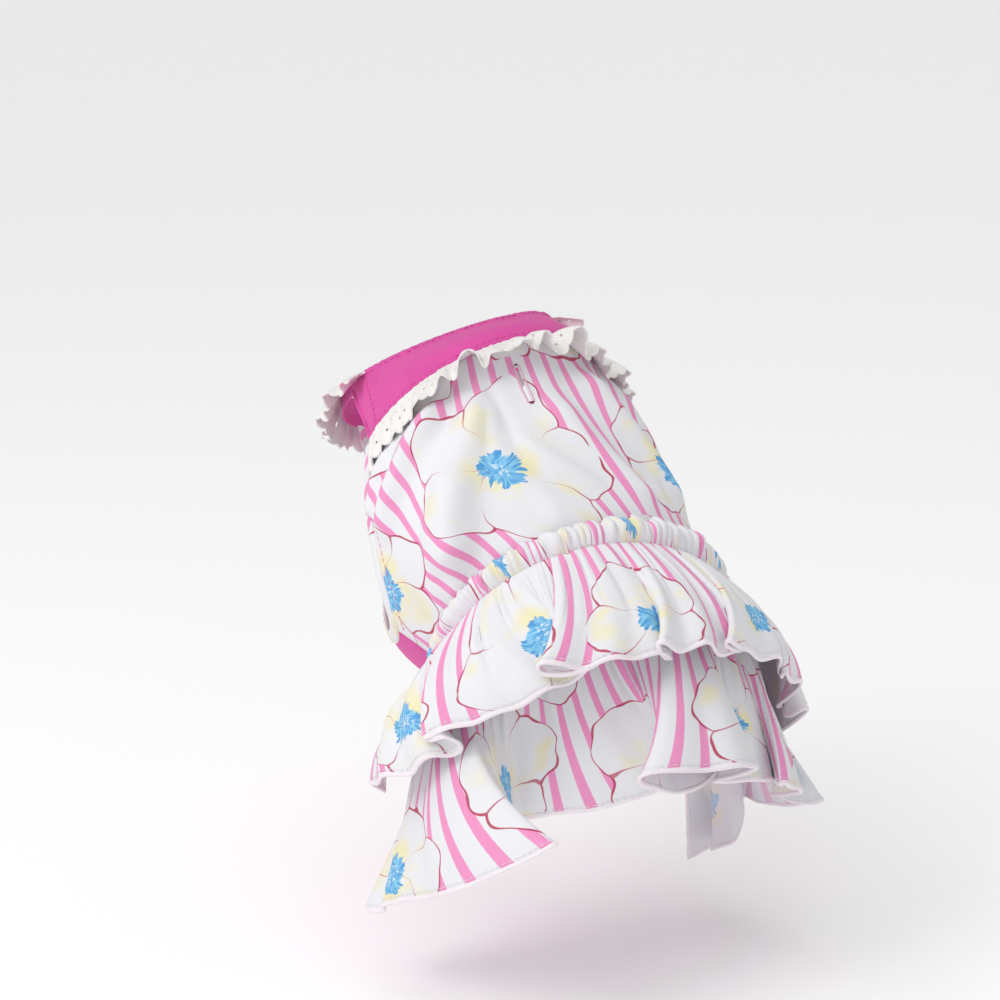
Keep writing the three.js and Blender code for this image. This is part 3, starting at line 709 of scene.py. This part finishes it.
def yoke():
    """Ring round the neck and over the shoulders, its edges turned in and stitched. Its creases fade to
    nothing where the ring closes on itself under the neck."""
    columns, rows = 420, 26
    angle, v = lattice(np.linspace(-180, 180, columns + 1), np.linspace(0, 1, rows + 1))
    edge = yoke_edge(angle)
    down = v * edge
    from_neck = down * BODICE_LENGTH
    from_seam = (edge - down) * BODICE_LENGTH
    along = angle * ROUND_DEGREE
    fold = 0.35 * smoothstep(from_neck, 3.6, 2.6) + 0.75 * smoothstep(from_seam, 3.4, 1.2)
    out = fold + pucker(3, along, from_neck - NECK_STITCHES_IN) + pucker(4, along, from_seam - 2.4)
    fade = np.sin(np.radians(angle) / 2 + np.pi / 2) ** 0.25
    out = out + creases(11, along, from_neck, 30, 3.2, 0.6, 14, 0.9) * fade
    inner = over_hollow(down, angle, 0.35 + out)
    inner[-1] = inner[0]
    uv = np.stack([along, from_neck], -1)
    piece = cloth("yoke_cloth", inner, uv, closed=True)
    dress_piece(piece, PLAIN, "yoke")

    def line(at, beneath):
        """Stitches at these angles and shares of the yoke's depth there."""
        return on_cloth(inner, (at + 180) / 360 * columns, beneath * rows, COTTON + 0.02)

    around = np.linspace(-179, 179, 900)
    back = np.linspace(-YOKE_END + 1, YOKE_END - 1, 500)
    beneath_neck = NECK_STITCHES_IN / BODICE_LENGTH / yoke_edge(around)
    lines = [line(around, beneath_neck), line(back, 1 - STITCHES_IN / YOKE_DEPTH)]
    for side in (YOKE_SIDE_STITCHES, -YOKE_SIDE_STITCHES):
        lines.append(line(np.full(80, side), np.linspace(0.08, 0.92, 80)))
    stitches = stitch_rows("yoke_stitches", lines, radius=0.17, rise=0.1)
    dress_piece(stitches, MAGENTA_THREAD)


def back_panel():
    """Printed back, with soft folds, fine creases and the slit for a lead. Across it the grid's steps
    follow a power, so that they are finest at the slit."""
    columns, rows = 168, 150
    start = YOKE_DEPTH / BODICE_LENGTH + GAP_DOWN
    u = np.linspace(-1, 1, columns + 1)
    u = np.sign(u) * np.abs(u) ** BACK_SPREAD
    across, v = lattice(u, np.linspace(0, 1, rows + 1))
    down = mix(start, HEM_LIP, v)
    angle = across * (ARMHOLE_MIDDLE - armhole_half(down) - GAP_ROUND / 2)
    along = angle * ROUND_DEGREE
    from_neck = down * BODICE_LENGTH
    from_side = 1 - np.abs(across)
    calm = smoothstep(from_side, 0, 0.08) * smoothstep(v, 0.02, 0.12) * smoothstep(v, 0.86, 0.74)
    ends = smoothstep(from_side, 0, 0.10) * smoothstep(v, 0.06, 0.22) * (1 - smoothstep(v, 0.68, 0.84))
    out = drape(down, angle) * ends + creases(21, along, from_neck, 60, 4.2, 1.6, 24) * calm
    # The slit: its edges part by a half sine, over the middle line
    share = (from_neck - YOKE_DEPTH - LACE_WIDTH) / BUTTONHOLE_LENGTH
    inside = (share > 0) & (share < 1)
    part = np.where(inside, np.sin(np.pi * np.clip(share, 0, 1)), 0) ** 1.3 * BUTTONHOLE_WIDTH / 2
    pushed = along + np.sign(along) * part * np.exp(-np.abs(along) / 4)
    middle = columns // 2
    pushed[middle] = 0
    out = out + 0.5 * np.exp(-((np.abs(pushed) - part) / 1.2) ** 2) * np.where(inside, 1, 0)
    inner = over_hollow(down, pushed / ROUND_DEGREE, 0.3 + out)
    keep = np.ones((columns, rows), bool)
    slit_rows = inside[middle, :-1] & inside[middle, 1:]
    keep[middle - 1, slit_rows] = False
    keep[middle, slit_rows] = False
    uv = np.stack([along + 38, from_neck + 6], -1)
    piece = cloth("back_cloth", inner, uv, keep=keep)
    dress_piece(piece, PRINT, "back_panel")
    sewn = [armhole_stitches(inner, start), *buttonhole(inner, np.nonzero(slit_rows)[0]), *armhole_bindings()]


def armhole_stitches(back, start):
    """A line of stitches beside each armhole, on the back's grid."""
    down = np.linspace(start + 0.01, (ARMHOLE_DROP + SEAM_BESIDE) / BODICE_LENGTH - 0.002, 260)
    line_angle = ARMHOLE_MIDDLE - armhole_half(down, SEAM_BESIDE)
    edge_angle = ARMHOLE_MIDDLE - armhole_half(down) - GAP_ROUND / 2
    row = (down - start) / (HEM_LIP - start) * (back.shape[1] - 1)
    lines = []
    for side in (1, -1):
        at = side * (line_angle / edge_angle) ** (1 / BACK_SPREAD)
        lines.append(on_cloth(back, (at + 1) / 2 * (back.shape[0] - 1), row, COTTON + 0.04))
    stitches = stitch_rows("armhole_stitches", lines, radius=0.16, rise=0.1)
    dress_piece(stitches, PINK_THREAD)
    return stitches


def buttonhole(back, slit_rows):
    """Close threads over both edges of the slit in the back's grid, and bars over its ends."""
    middle = back.shape[0] // 2
    place = np.arange(slit_rows[0] - 0.5, slit_rows[-1] + 1.6, 0.46)
    waver = 0.35 * soft_noise(23, place, 2.0)
    starts, ends, normals = [], [], []
    for side in (-1, 1):
        begin, normal = on_cloth(back, middle + side * 1.1, place, COTTON * 0.7)
        end, normal = on_cloth(back, middle + side * (2.2 + waver), place + 0.25, COTTON + 0.02)
        starts.append(begin)
        ends.append(end)
        normals.append(normal)
    whip_lines = (np.concatenate(part) for part in (starts, ends, normals))
    whipping = threads("buttonhole_stitches", *whip_lines, radius=0.19, rise=0.16)
    dress_piece(whipping, PALE_PINK_THREAD)
    below = slit_rows[-1] + 1.8 + 0.35 * np.arange(4)
    above = slit_rows[0] - 1.6 + 0.35 * np.arange(2)
    bar_row = np.concatenate([below, above])
    reach = np.array([1.7, 2.1, 1.5, 1.2, 1.6, 1.4])
    begin, normal = on_cloth(back, middle - reach, bar_row + 0.3 * np.sin(bar_row * 5), COTTON + 0.15)
    end, normal = on_cloth(back, middle + reach, bar_row - 0.3 * np.sin(bar_row * 3), COTTON + 0.15)
    knot = threads("buttonhole_knot", begin, end, normal, radius=0.24, rise=0.25)
    dress_piece(knot, CRIMSON_THREAD)
    return [whipping, knot]


def belly_panel():
    """Plain panel under the chest and belly, finely creased, its lower edge turned in."""
    columns, rows = 110, 110
    start = FRONT_BAND_DEPTH / BODICE_LENGTH + GAP_DOWN
    u, v = lattice(np.linspace(-1, 1, columns + 1), np.linspace(0, 1, rows + 1))
    down = mix(start, HEM_LIP, v)
    half = 180 - (ARMHOLE_MIDDLE + armhole_half(down) + GAP_ROUND / 2)
    angle = 180 + u * half
    along = angle * ROUND_DEGREE
    from_neck = down * BODICE_LENGTH
    calm = smoothstep(1 - np.abs(u), 0, 0.1) * smoothstep(v, 0.0, 0.1)
    hem = smoothstep((HEM_LIP - down) * BODICE_LENGTH, 4.0, 3.0) * 0.35
    out = hem + creases(31, along, from_neck, 60, 3.0, 0.5, 18) * calm
    inner = over_hollow(down, angle, 0.35 + out)
    uv = np.stack([along, from_neck], -1)
    piece = cloth("belly_cloth", inner, uv)
    dress_piece(piece, PLAIN, "belly_panel")


def armhole_bindings():
    """Strips of the print, cut on the bias, turned round the armholes' edges: a path round the edge of
    the back and the belly with an oval ring about it."""
    bottom = ARMHOLE_DROP / BODICE_LENGTH
    sunk = np.sin(np.linspace(0, 1, 160) * np.pi / 2) ** 0.8
    back_down = mix(YOKE_DEPTH / BODICE_LENGTH, bottom, sunk)
    front_down = mix(FRONT_BAND_DEPTH / BODICE_LENGTH, bottom, sunk)
    down = np.concatenate([back_down, front_down[::-1][1:]])
    away = np.concatenate([-armhole_half(back_down), armhole_half(front_down[::-1][1:])])
    pieces = []
    for side, name in ((1, "left"), (-1, "right")):
        angle = side * (ARMHOLE_MIDDLE + away)
        edge = over_hollow(down, angle, 0.75)
        normal = hollow_normal(down, angle)
        along = unit(np.gradient(edge, axis=0))
        inward = unit(np.cross(along, normal)) * side
        ring = np.linspace(0, 2 * np.pi, 21)
        wide = BINDING_HALF * np.sign(np.cos(ring)) * np.abs(np.cos(ring)) ** 0.8
        high = BINDING_RISE * np.sin(ring)
        centre = edge - inward * BINDING_INSET
        inner = centre[:, None] + inward[:, None] * wide[:, None] + normal[:, None] * high[:, None]
        run = np.concatenate([[0], np.cumsum(np.linalg.norm(np.diff(edge, axis=0), axis=1))])
        uv = np.stack(np.broadcast_arrays(run[:, None], ring[None] * 2.2), -1)
        if side > 0:
            inner, uv = inner[:, ::-1], uv[:, ::-1]
        pieces.append(closed_band(f"{name}_armhole_binding", inner, uv))
        dress_piece(pieces[-1], BIAS_PRINT)
    return pieces


def closed_band(name, points, uv):
    """A tube over a grid whose second direction closes on itself, with its two ends capped."""
    rings, sides = points.shape[0], points.shape[1] - 1
    index = np.arange(rings * (sides + 1)).reshape(rings, sides + 1)
    place = np.arange(rings * sides).reshape(rings, sides)
    place = np.concatenate([place, place[:, :1]], 1)
    quads, corners = (
        np.stack([at[:-1, :-1], at[1:, :-1], at[1:, 1:], at[:-1, 1:]], -1).reshape(-1, 4)
        for at in (place, index)
    )
    corner_uv = uv.reshape(-1, 2)[corners].reshape(-1, 2)
    piece = make_piece(name, points[:, :-1].reshape(-1, 3), quads.tolist(), corner_uv)
    work = bmesh.new()
    work.from_mesh(piece.data)
    bmesh.ops.holes_fill(work, edges=[e for e in work.edges if e.is_boundary], sides=0)
    bmesh.ops.recalc_face_normals(work, faces=work.faces)
    work.to_mesh(piece.data)
    work.free()
    return piece


# Folds of a gathered strip
SMALL_GATHER = 2.2
MIDDLE_GATHER = 2.5
HEM_SWAY = 2.0
CLOTH_OVER_ROUND = 1.42
TIER_COLUMNS = 760
RUFFLE_GATHERS = 64
RUFFLE_CLOTH = 720


def folded_path(folds):
    """Path of a folded edge: the cloth's heading turns by each fold's degrees, up and down again by smooth
    steps at both sides. Returns a function of the share of the cloth that gives the share gone round and
    the share stood out. What the path drifts out from fold to fold is taken off."""
    steps = 1600
    share = (np.arange(steps) + 0.5) / steps
    heading = np.zeros(steps)
    for at, cloth_share, swing in folds:
        phase = np.abs((share - at) / cloth_share)
        heading += np.radians(swing) * smoothstep(phase, 0.60, 0.36)
    gone = np.concatenate([[0], np.cumsum(np.cos(heading))]) / steps
    out = np.concatenate([[0], np.cumsum(np.sin(heading))]) / steps
    place = np.linspace(0, 1, steps + 1)
    knots = [0, *[fold[0] for fold in folds], 1]
    out = (out - np.interp(place, knots, np.interp(knots, place, out))) / gone[-1]
    gone = gone / gone[-1]
    return lambda where: (np.interp(where, place, gone), np.interp(where, place, out))


def gathers(seed, share, count):
    """Small irregular gathers, between 0 and 1: a cosine whose phase and height wander."""
    phase = count * share + 0.55 * soft_noise(seed, share, 0.11) + 0.2 * soft_noise(seed + 1, share, 0.03)
    height = 0.75 + 0.35 * soft_noise(seed + 2, share, 0.06)
    return (0.5 - 0.5 * np.cos(2 * np.pi * phase)) * height


def tier(folds, hang, length, seam_down, seam_out, flare, growth, rows, seed, fine):
    """A gathered tier. Each thread of its cloth starts at the seam, stands out by one less (1 - v) to the
    flare, follows the hem's folds by v to the growth, and drops by what is left of its length. Returns
    the grid of the cloth's inner face and its place on the cut cloth. fine is the number of gathers."""
    path = folded_path(folds)

    def seam(angle):
        """Point of the seam, stood out from the hollow by seam_out."""
        return over_hollow(np.full_like(angle, seam_down), angle, seam_out)

    def outward(angle):
        """Level way out of the seam: the step round it, turned by a quarter."""
        along = seam(angle - 1) - seam(angle + 1)
        return unit(np.stack([along[..., 1], -along[..., 0], 0 * angle], -1))

    share, v = lattice(np.linspace(1, 0, TIER_COLUMNS + 1), np.linspace(0, 1, rows + 1) ** 1.1)
    straight = SKIRT_END * (1 - 2 * share)
    hem_round = 2 * SKIRT_END * (WAIST_GIRTH / 360) * HEM_SPREAD
    hem_share, hem_out = path(share)

    def standing(at):
        """The cloth seen from above at these shares of its length: the seam's point, stood out by the
        reach, the folds, the gathers and a slow sway."""
        grown = at ** growth
        angle = mix(straight, SKIRT_END * (1 - 2 * hem_share), grown)
        small = gathers(seed, share, fine) * SMALL_GATHER * np.exp(-((at - 0.06) / 0.26) ** 2)
        small = small * smoothstep(at, -0.02, 0.06)
        bulge = np.sin(np.pi * np.minimum(1.5 * at, 1)) ** 1.5
        middle = gathers(seed + 5, share, fine / 2.6) * MIDDLE_GATHER * bulge
        sway = soft_noise(seed + 9, share, 0.05) * HEM_SWAY * at ** 1.5
        reach = length * through(hang[:, 0], hang[:, 1], angle) * (1 - (1 - at) ** flare)
        out = reach + hem_out * hem_round * grown + small + middle + sway
        place = seam(angle)
        place[..., 2] = 0
        return place + outward(angle) * out[..., None]

    top = seam(straight)
    hem = standing(np.ones_like(v))
    aside = np.hypot(*(hem - top)[..., :2].transpose(2, 0, 1))
    thread = length * through(hang[:, 0], hang[:, 2], straight)
    drop = np.sqrt(np.maximum(thread**2 - aside**2, (thread / 4) ** 2))
    grid = standing(v)
    grid[..., 2] = top[..., 2] - drop * v
    uv = np.stack([share * hem_round * CLOTH_OVER_ROUND, v * length], -1)
    return grid, uv


def hem_roll(name, grid):
    """Narrow rolled hem: an oval tube along the lower edge of a cloth and up its two ends."""
    across, along = np.gradient(grid, axis=0), np.gradient(grid, axis=1)
    normal = grid_normal(grid)
    middle = grid + normal * COTTON / 2
    lines = [
        (middle[:, -1], unit(-along[:, -1]), normal[:, -1]),
        (middle[0, ::-1], unit(across[0, ::-1]), normal[0, ::-1]),
        (middle[-1], unit(-across[-1]), normal[-1]),
    ]
    made = []
    for number, (path, into, up) in enumerate(lines):
        path = path + into * (ROLL_WIDTH * 0.35)
        swell = 1 + 0.10 * soft_noise(40 + number, np.linspace(0, 1, len(path)), 0.02)
        taper = np.ones(len(path))
        taper[[0, -1]] = 0.35
        wide = ROLL_WIDTH / 2 * swell * taper
        high = ROLL_DEPTH / 2 * swell * taper
        made.append(tubes(f"{name}_{number}", path[None], into[None], up[None], wide[None], high[None], 10))
    return join(made, name)


def join(parts, name):
    """Several new objects made one."""
    bpy.ops.object.select_all(action="DESELECT")
    for part in parts:
        part.select_set(True)
    bpy.context.view_layer.objects.active = parts[0]
    bpy.ops.object.join()
    parts[0].name = name
    parts[0].data.name = name
    return parts[0]


def skirt_tier(name, flat, seed, **shape):
    """A tier of printed cotton with its rolled hem and the stitches over it."""
    grid, uv = tier(seed=seed, **shape)
    outward = grid_normal(grid)
    piece = cloth(f"{name}_cloth", grid, uv + [seed * 13.0, seed * 29.0])
    dress_piece(piece, PRINT, name)
    hem = hem_roll(f"{name}_hem", grid)
    dress_piece(hem, ROLLED)
    down = unit(np.gradient(grid, axis=1)[:, -1])
    line = grid[:, -1] - down * STITCHES_IN + outward[:, -1] * (COTTON + 0.06)
    stitches = stitch_rows(f"{name}_stitches", [(line, outward[:, -1])], radius=0.17)
    dress_piece(stitches, WHITE_THREAD)


def waist_ruffle():
    """Heading over the waist seam: a strip drawn up in fine gathers that swells out as half a sine."""
    columns, rows = 1100, 16
    u, v = lattice(np.linspace(-1, 1, columns + 1), np.linspace(0, 1, rows + 1))
    share = (1 - u) / 2
    angle = SKIRT_END * u
    down = 1 - (1 - v) * HEADING_WIDTH / BODICE_LENGTH
    fine = gathers(61, share, RUFFLE_GATHERS)
    tall = gathers(65, share, 23)
    edge = (1 - v) * soft_noise(67, share, 0.025) * 0.9 / BODICE_LENGTH
    swell = 2.4 * np.sin(np.pi * (0.12 + 0.88 * v))
    out = 1.3 + swell + (2.1 * fine + 1.3 * tall) * (1 - 0.88 * v**2) * smoothstep(v, -0.5, 0.4)
    sway = gathers(71, share, RUFFLE_GATHERS) * 0.5 * (1 - v)
    inner = over_hollow(down + edge, angle + sway, out)
    uv = np.stack([share * RUFFLE_CLOTH + 40, v * HEADING_WIDTH + 40], -1)
    piece = cloth("waist_ruffle_cloth", inner, uv)
    dress_piece(piece, PRINT, "waist_ruffle")
    outward = hollow_normal(down, angle)[:, -2]
    seam = (inner[:, -2] + outward * (COTTON + 0.1), outward)
    stitches = stitch_rows("waist_stitches", [seam], radius=0.2)
    dress_piece(stitches, WHITE_THREAD)


# Lace
# Eyelets of a scallop: row of the grid, column and radius in millimetres
LACE_HOLES = [(15, 6, 0.80), (8, 0, 0.55)]
LACE_RIM = 0.24


def lace(name, node, seed, ends, start, scallops, wave, swing, tilt):
    """Gathered strip of eyelet lace. The heading of its free edge swings as a sine along the strip, and what
    the path drifts is taken off. wave, swing and tilt follow the angle round: millimetres of strip
    in one swing, degrees of the swing, and degrees that the strip stands off the cloth. Each scallop has a
    round hole and a smaller one above it, and a rim stands round each hole."""
    per, rows, hole_ring, free_ring = 12, 24, 2, 5
    columns = scallops * per
    strip = scallops * LACE_SCALLOP
    i, j = lattice(np.arange(columns + 1), np.arange(rows + 1))
    drawn_i, drawn_j = i.astype(float), j.astype(float)
    rim, cut = np.zeros(i.shape), np.zeros((columns, rows), bool)
    # The grid's square rings round a hole are drawn on to circles
    for row_centre, first, radius in LACE_HOLES:
        off_i = (i - first + per / 2) % per - per / 2
        off_j = j - row_centre
        square = np.maximum(np.abs(off_i), np.abs(off_j))
        turn = np.arctan2(off_j, off_i)
        grow = np.clip((square - hole_ring) / (free_ring - hole_ring), 0, 1)
        near = square < free_ring
        circle_i = radius * per / LACE_SCALLOP * np.cos(turn)
        circle_j = radius * rows / LACE_STRIP * np.sin(turn)
        drawn_i = np.where(near, mix(i - off_i + circle_i, i, grow), drawn_i)
        drawn_j = np.where(near, mix(row_centre + circle_j, j, grow), drawn_j)
        raised = LACE_RIM * np.exp(-(((square - hole_ring - 0.6) / 0.9) ** 2))
        rim = np.maximum(rim, raised * (square >= hole_ring))
        middle_i = (np.arange(columns) + 0.5 - first + per / 2) % per - per / 2
        middle_j = np.arange(rows) + 0.5 - row_centre
        cut |= (np.abs(middle_i)[:, None] < hole_ring) & (np.abs(middle_j)[None] < hole_ring)
    share, v = drawn_i / columns, np.clip(drawn_j / rows, 0, 1)
    # The free edge's path, and the same without its swings for the sewn edge
    steps, window = 4000, 260
    place = np.linspace(0, 1, steps + 1)
    at_angle = mix(ends[0], ends[1], place)
    phase = np.cumsum(strip / steps / wave(at_angle)) + 0.22 * soft_noise(seed, place, 0.10)
    heading = np.radians(swing(at_angle)) * np.sin(2 * np.pi * phase)
    gone = np.cumsum(np.cos(heading))
    gone = (gone - gone[0]) / (gone[-1] - gone[0])
    out = np.cumsum(np.sin(heading)) * strip / steps

    def evened(line):
        """Mean of the line over a window that slides along it."""
        padded = np.pad(line, window, mode="reflect", reflect_type="odd")
        return np.convolve(padded, np.ones(2 * window + 1) / (2 * window + 1), mode="valid")

    out = out - evened(out)
    height = evened(np.abs(out)) * np.pi / 2
    angle_free = mix(ends[0], ends[1], np.interp(share, place, gone))
    angle_sewn = mix(ends[0], ends[1], np.interp(share, place, evened(gone)))
    grown = v**0.8
    angle = mix(angle_sewn, angle_free, grown)
    off = np.radians(tilt(angle_sewn)) * smoothstep(v, -0.05, 0.35)
    scallop = 0.08 * np.abs(np.sin(np.pi * share * scallops)) ** 0.7 * smoothstep(v, 0.75, 1.0)
    wide = LACE_STRIP * v * (0.97 + scallop)
    clear = np.clip(1 - 1.15 * np.sin(off), 0.1, 1)
    side = (np.interp(share, place, out) + np.interp(share, place, height) * clear) * grown
    side = side + gathers(seed + 3, share, scallops * 0.9) * 0.5 * np.exp(-(((v - 0.12) / 0.16) ** 2))
    lift = 1.15 + wide * np.sin(off) + side * np.cos(off) + rim
    down = start + (wide * np.cos(off) - side * np.sin(off)) / BODICE_LENGTH
    inner = over_hollow(down, angle, lift)
    uv = np.stack([share * strip, v * LACE_STRIP], -1)
    piece = cloth(name, inner, uv, thickness=LACE_COTTON, keep=~cut)
    dress_piece(piece, LACE, node)


def by_side(left, middle, right):
    """A value for the lace by angle: one at the left, one in the middle and one at the right."""
    return lambda angle: mix(mix(middle, left, smoothstep(angle, 22, 52)), right, smoothstep(angle, -18, -48))


def evenly(value):
    """The same value at each angle."""
    return lambda angle: value + 0 * angle


yoke()
back_panel()
belly_panel()
lace(
    "back_lace_strip", "back_lace", 81, (-YOKE_END, YOKE_END), YOKE_DEPTH / BODICE_LENGTH, 50,
    wave=by_side(10.0, 25.0, 15.0), swing=by_side(36, 80, 58), tilt=by_side(3, 44, 8))
lace(
    "front_lace_strip", "front_lace", 91, (FRONT_LACE_END, 360 - FRONT_LACE_END),
    1.0 / BODICE_LENGTH, 60, wave=evenly(14.0), swing=evenly(60), tilt=evenly(35))
waist_ruffle()
skirt_tier(
    "upper_tier", flat=(0.41, 0.048), seed=7, fine=66, rows=44, folds=UPPER_TIER_FOLDS, hang=UPPER_TIER_HANG,
    length=UPPER_TIER_LENGTH, seam_down=1 + GAP_DOWN, seam_out=1.6, flare=2.2, growth=1.2)
skirt_tier(
    "lower_tier", flat=(0.41, 0.076), seed=17, fine=52, rows=52, folds=LOWER_TIER_FOLDS, hang=LOWER_TIER_HANG,
    length=LOWER_TIER_LENGTH, seam_down=HEM_LIP + GAP_DOWN, seam_out=0.2, flare=1.1, growth=2.4)


# Camera, light and floor
CAMERA_AZIMUTH = np.radians(-30)
CAMERA_ELEVATION = np.radians(14)
CAMERA_DISTANCE = 0.92
LENS = 85
SENSOR = 36
FLOOR_HALF = 60.0
FLOOR_LEVEL = -0.172
FLOOR_GLOW = 0.17
# Strength of the sky from the horizon up, and the height at which it has fallen to the lower one
SKY_LOW, SKY_HIGH, SKY_FALL = 0.84, 0.42, 0.22
DRESS_MIDDLE = Vector((0, -0.04, -0.04))


def put(name, data, towards):
    """A camera or light in the scene, its back turned to that direction."""
    thing = bpy.data.objects.new(name, data)
    thing.rotation_euler = towards.to_track_quat("Z", "Y").to_euler()
    bpy.context.scene.collection.objects.link(thing)
    return thing


def soft_light(name, place, size, power):
    """A square area light that looks at the dress's middle."""
    data = bpy.data.lights.new(name, "AREA")
    data.size = size
    data.energy = power
    put(name, data, Vector(place) - DRESS_MIDDLE).location = place


towards = Vector((
    np.sin(CAMERA_AZIMUTH) * np.cos(CAMERA_ELEVATION),
    -np.cos(CAMERA_AZIMUTH) * np.cos(CAMERA_ELEVATION),
    np.sin(CAMERA_ELEVATION),
))
lens = bpy.data.cameras.new("camera")
lens.lens = LENS
lens.sensor_width = SENSOR
camera = put("camera", lens, towards)
camera.location = towards * CAMERA_DISTANCE
bpy.context.scene.camera = camera

floor_mesh = bpy.data.meshes.new("floor")
corners = ((-1, -1), (1, -1), (1, 1), (-1, 1))
floor_points = [(x * FLOOR_HALF, y * FLOOR_HALF, FLOOR_LEVEL) for x, y in corners]
floor_mesh.from_pydata(floor_points, [], [(0, 1, 2, 3)])
floor = bpy.data.objects.new("floor", floor_mesh)
bpy.context.scene.collection.objects.link(floor)
pale = Finish("pale floor").plain(
    Base_Color=(0.95, 0.95, 0.955, 1), Roughness=0.9,
    Emission_Color=(1, 1, 1, 1), Emission_Strength=FLOOR_GLOW)
floor_mesh.materials.append(pale)

world = bpy.data.worlds.new("studio")
bpy.context.scene.world = world
world.use_nodes = True
# The sky's light: even, and as bright as the floor where it meets it
sky = world.node_tree
direction = sky.nodes.new("ShaderNodeTexCoord")
height = sky.nodes.new("ShaderNodeSeparateXYZ")
rise = sky.nodes.new("ShaderNodeMapRange")
for socket, value in (("From Min", 0.0), ("From Max", SKY_FALL), ("To Min", SKY_LOW), ("To Max", SKY_HIGH)):
    rise.inputs[socket].default_value = value
sky.links.new(direction.outputs["Generated"], height.inputs[0])
sky.links.new(height.outputs["Z"], rise.inputs["Value"])
sky.links.new(rise.outputs[0], sky.nodes["Background"].inputs["Strength"])
sky.nodes["Background"].inputs["Color"].default_value = (1.0, 1.0, 1.0, 1)

soft_light("key", (-1.1, -0.25, 0.9), size=0.6, power=6.0)
soft_light("fill", (1.2, -1.2, 0.7), size=1.0, power=1.4)
sun = bpy.data.lights.new("overhead", "SUN")
sun.energy = 0.9
sun.angle = np.radians(60)
put("overhead", sun, Vector((-0.35, -0.15, 1.0)))
bpy.context.scene.view_settings.view_transform = "Standard"
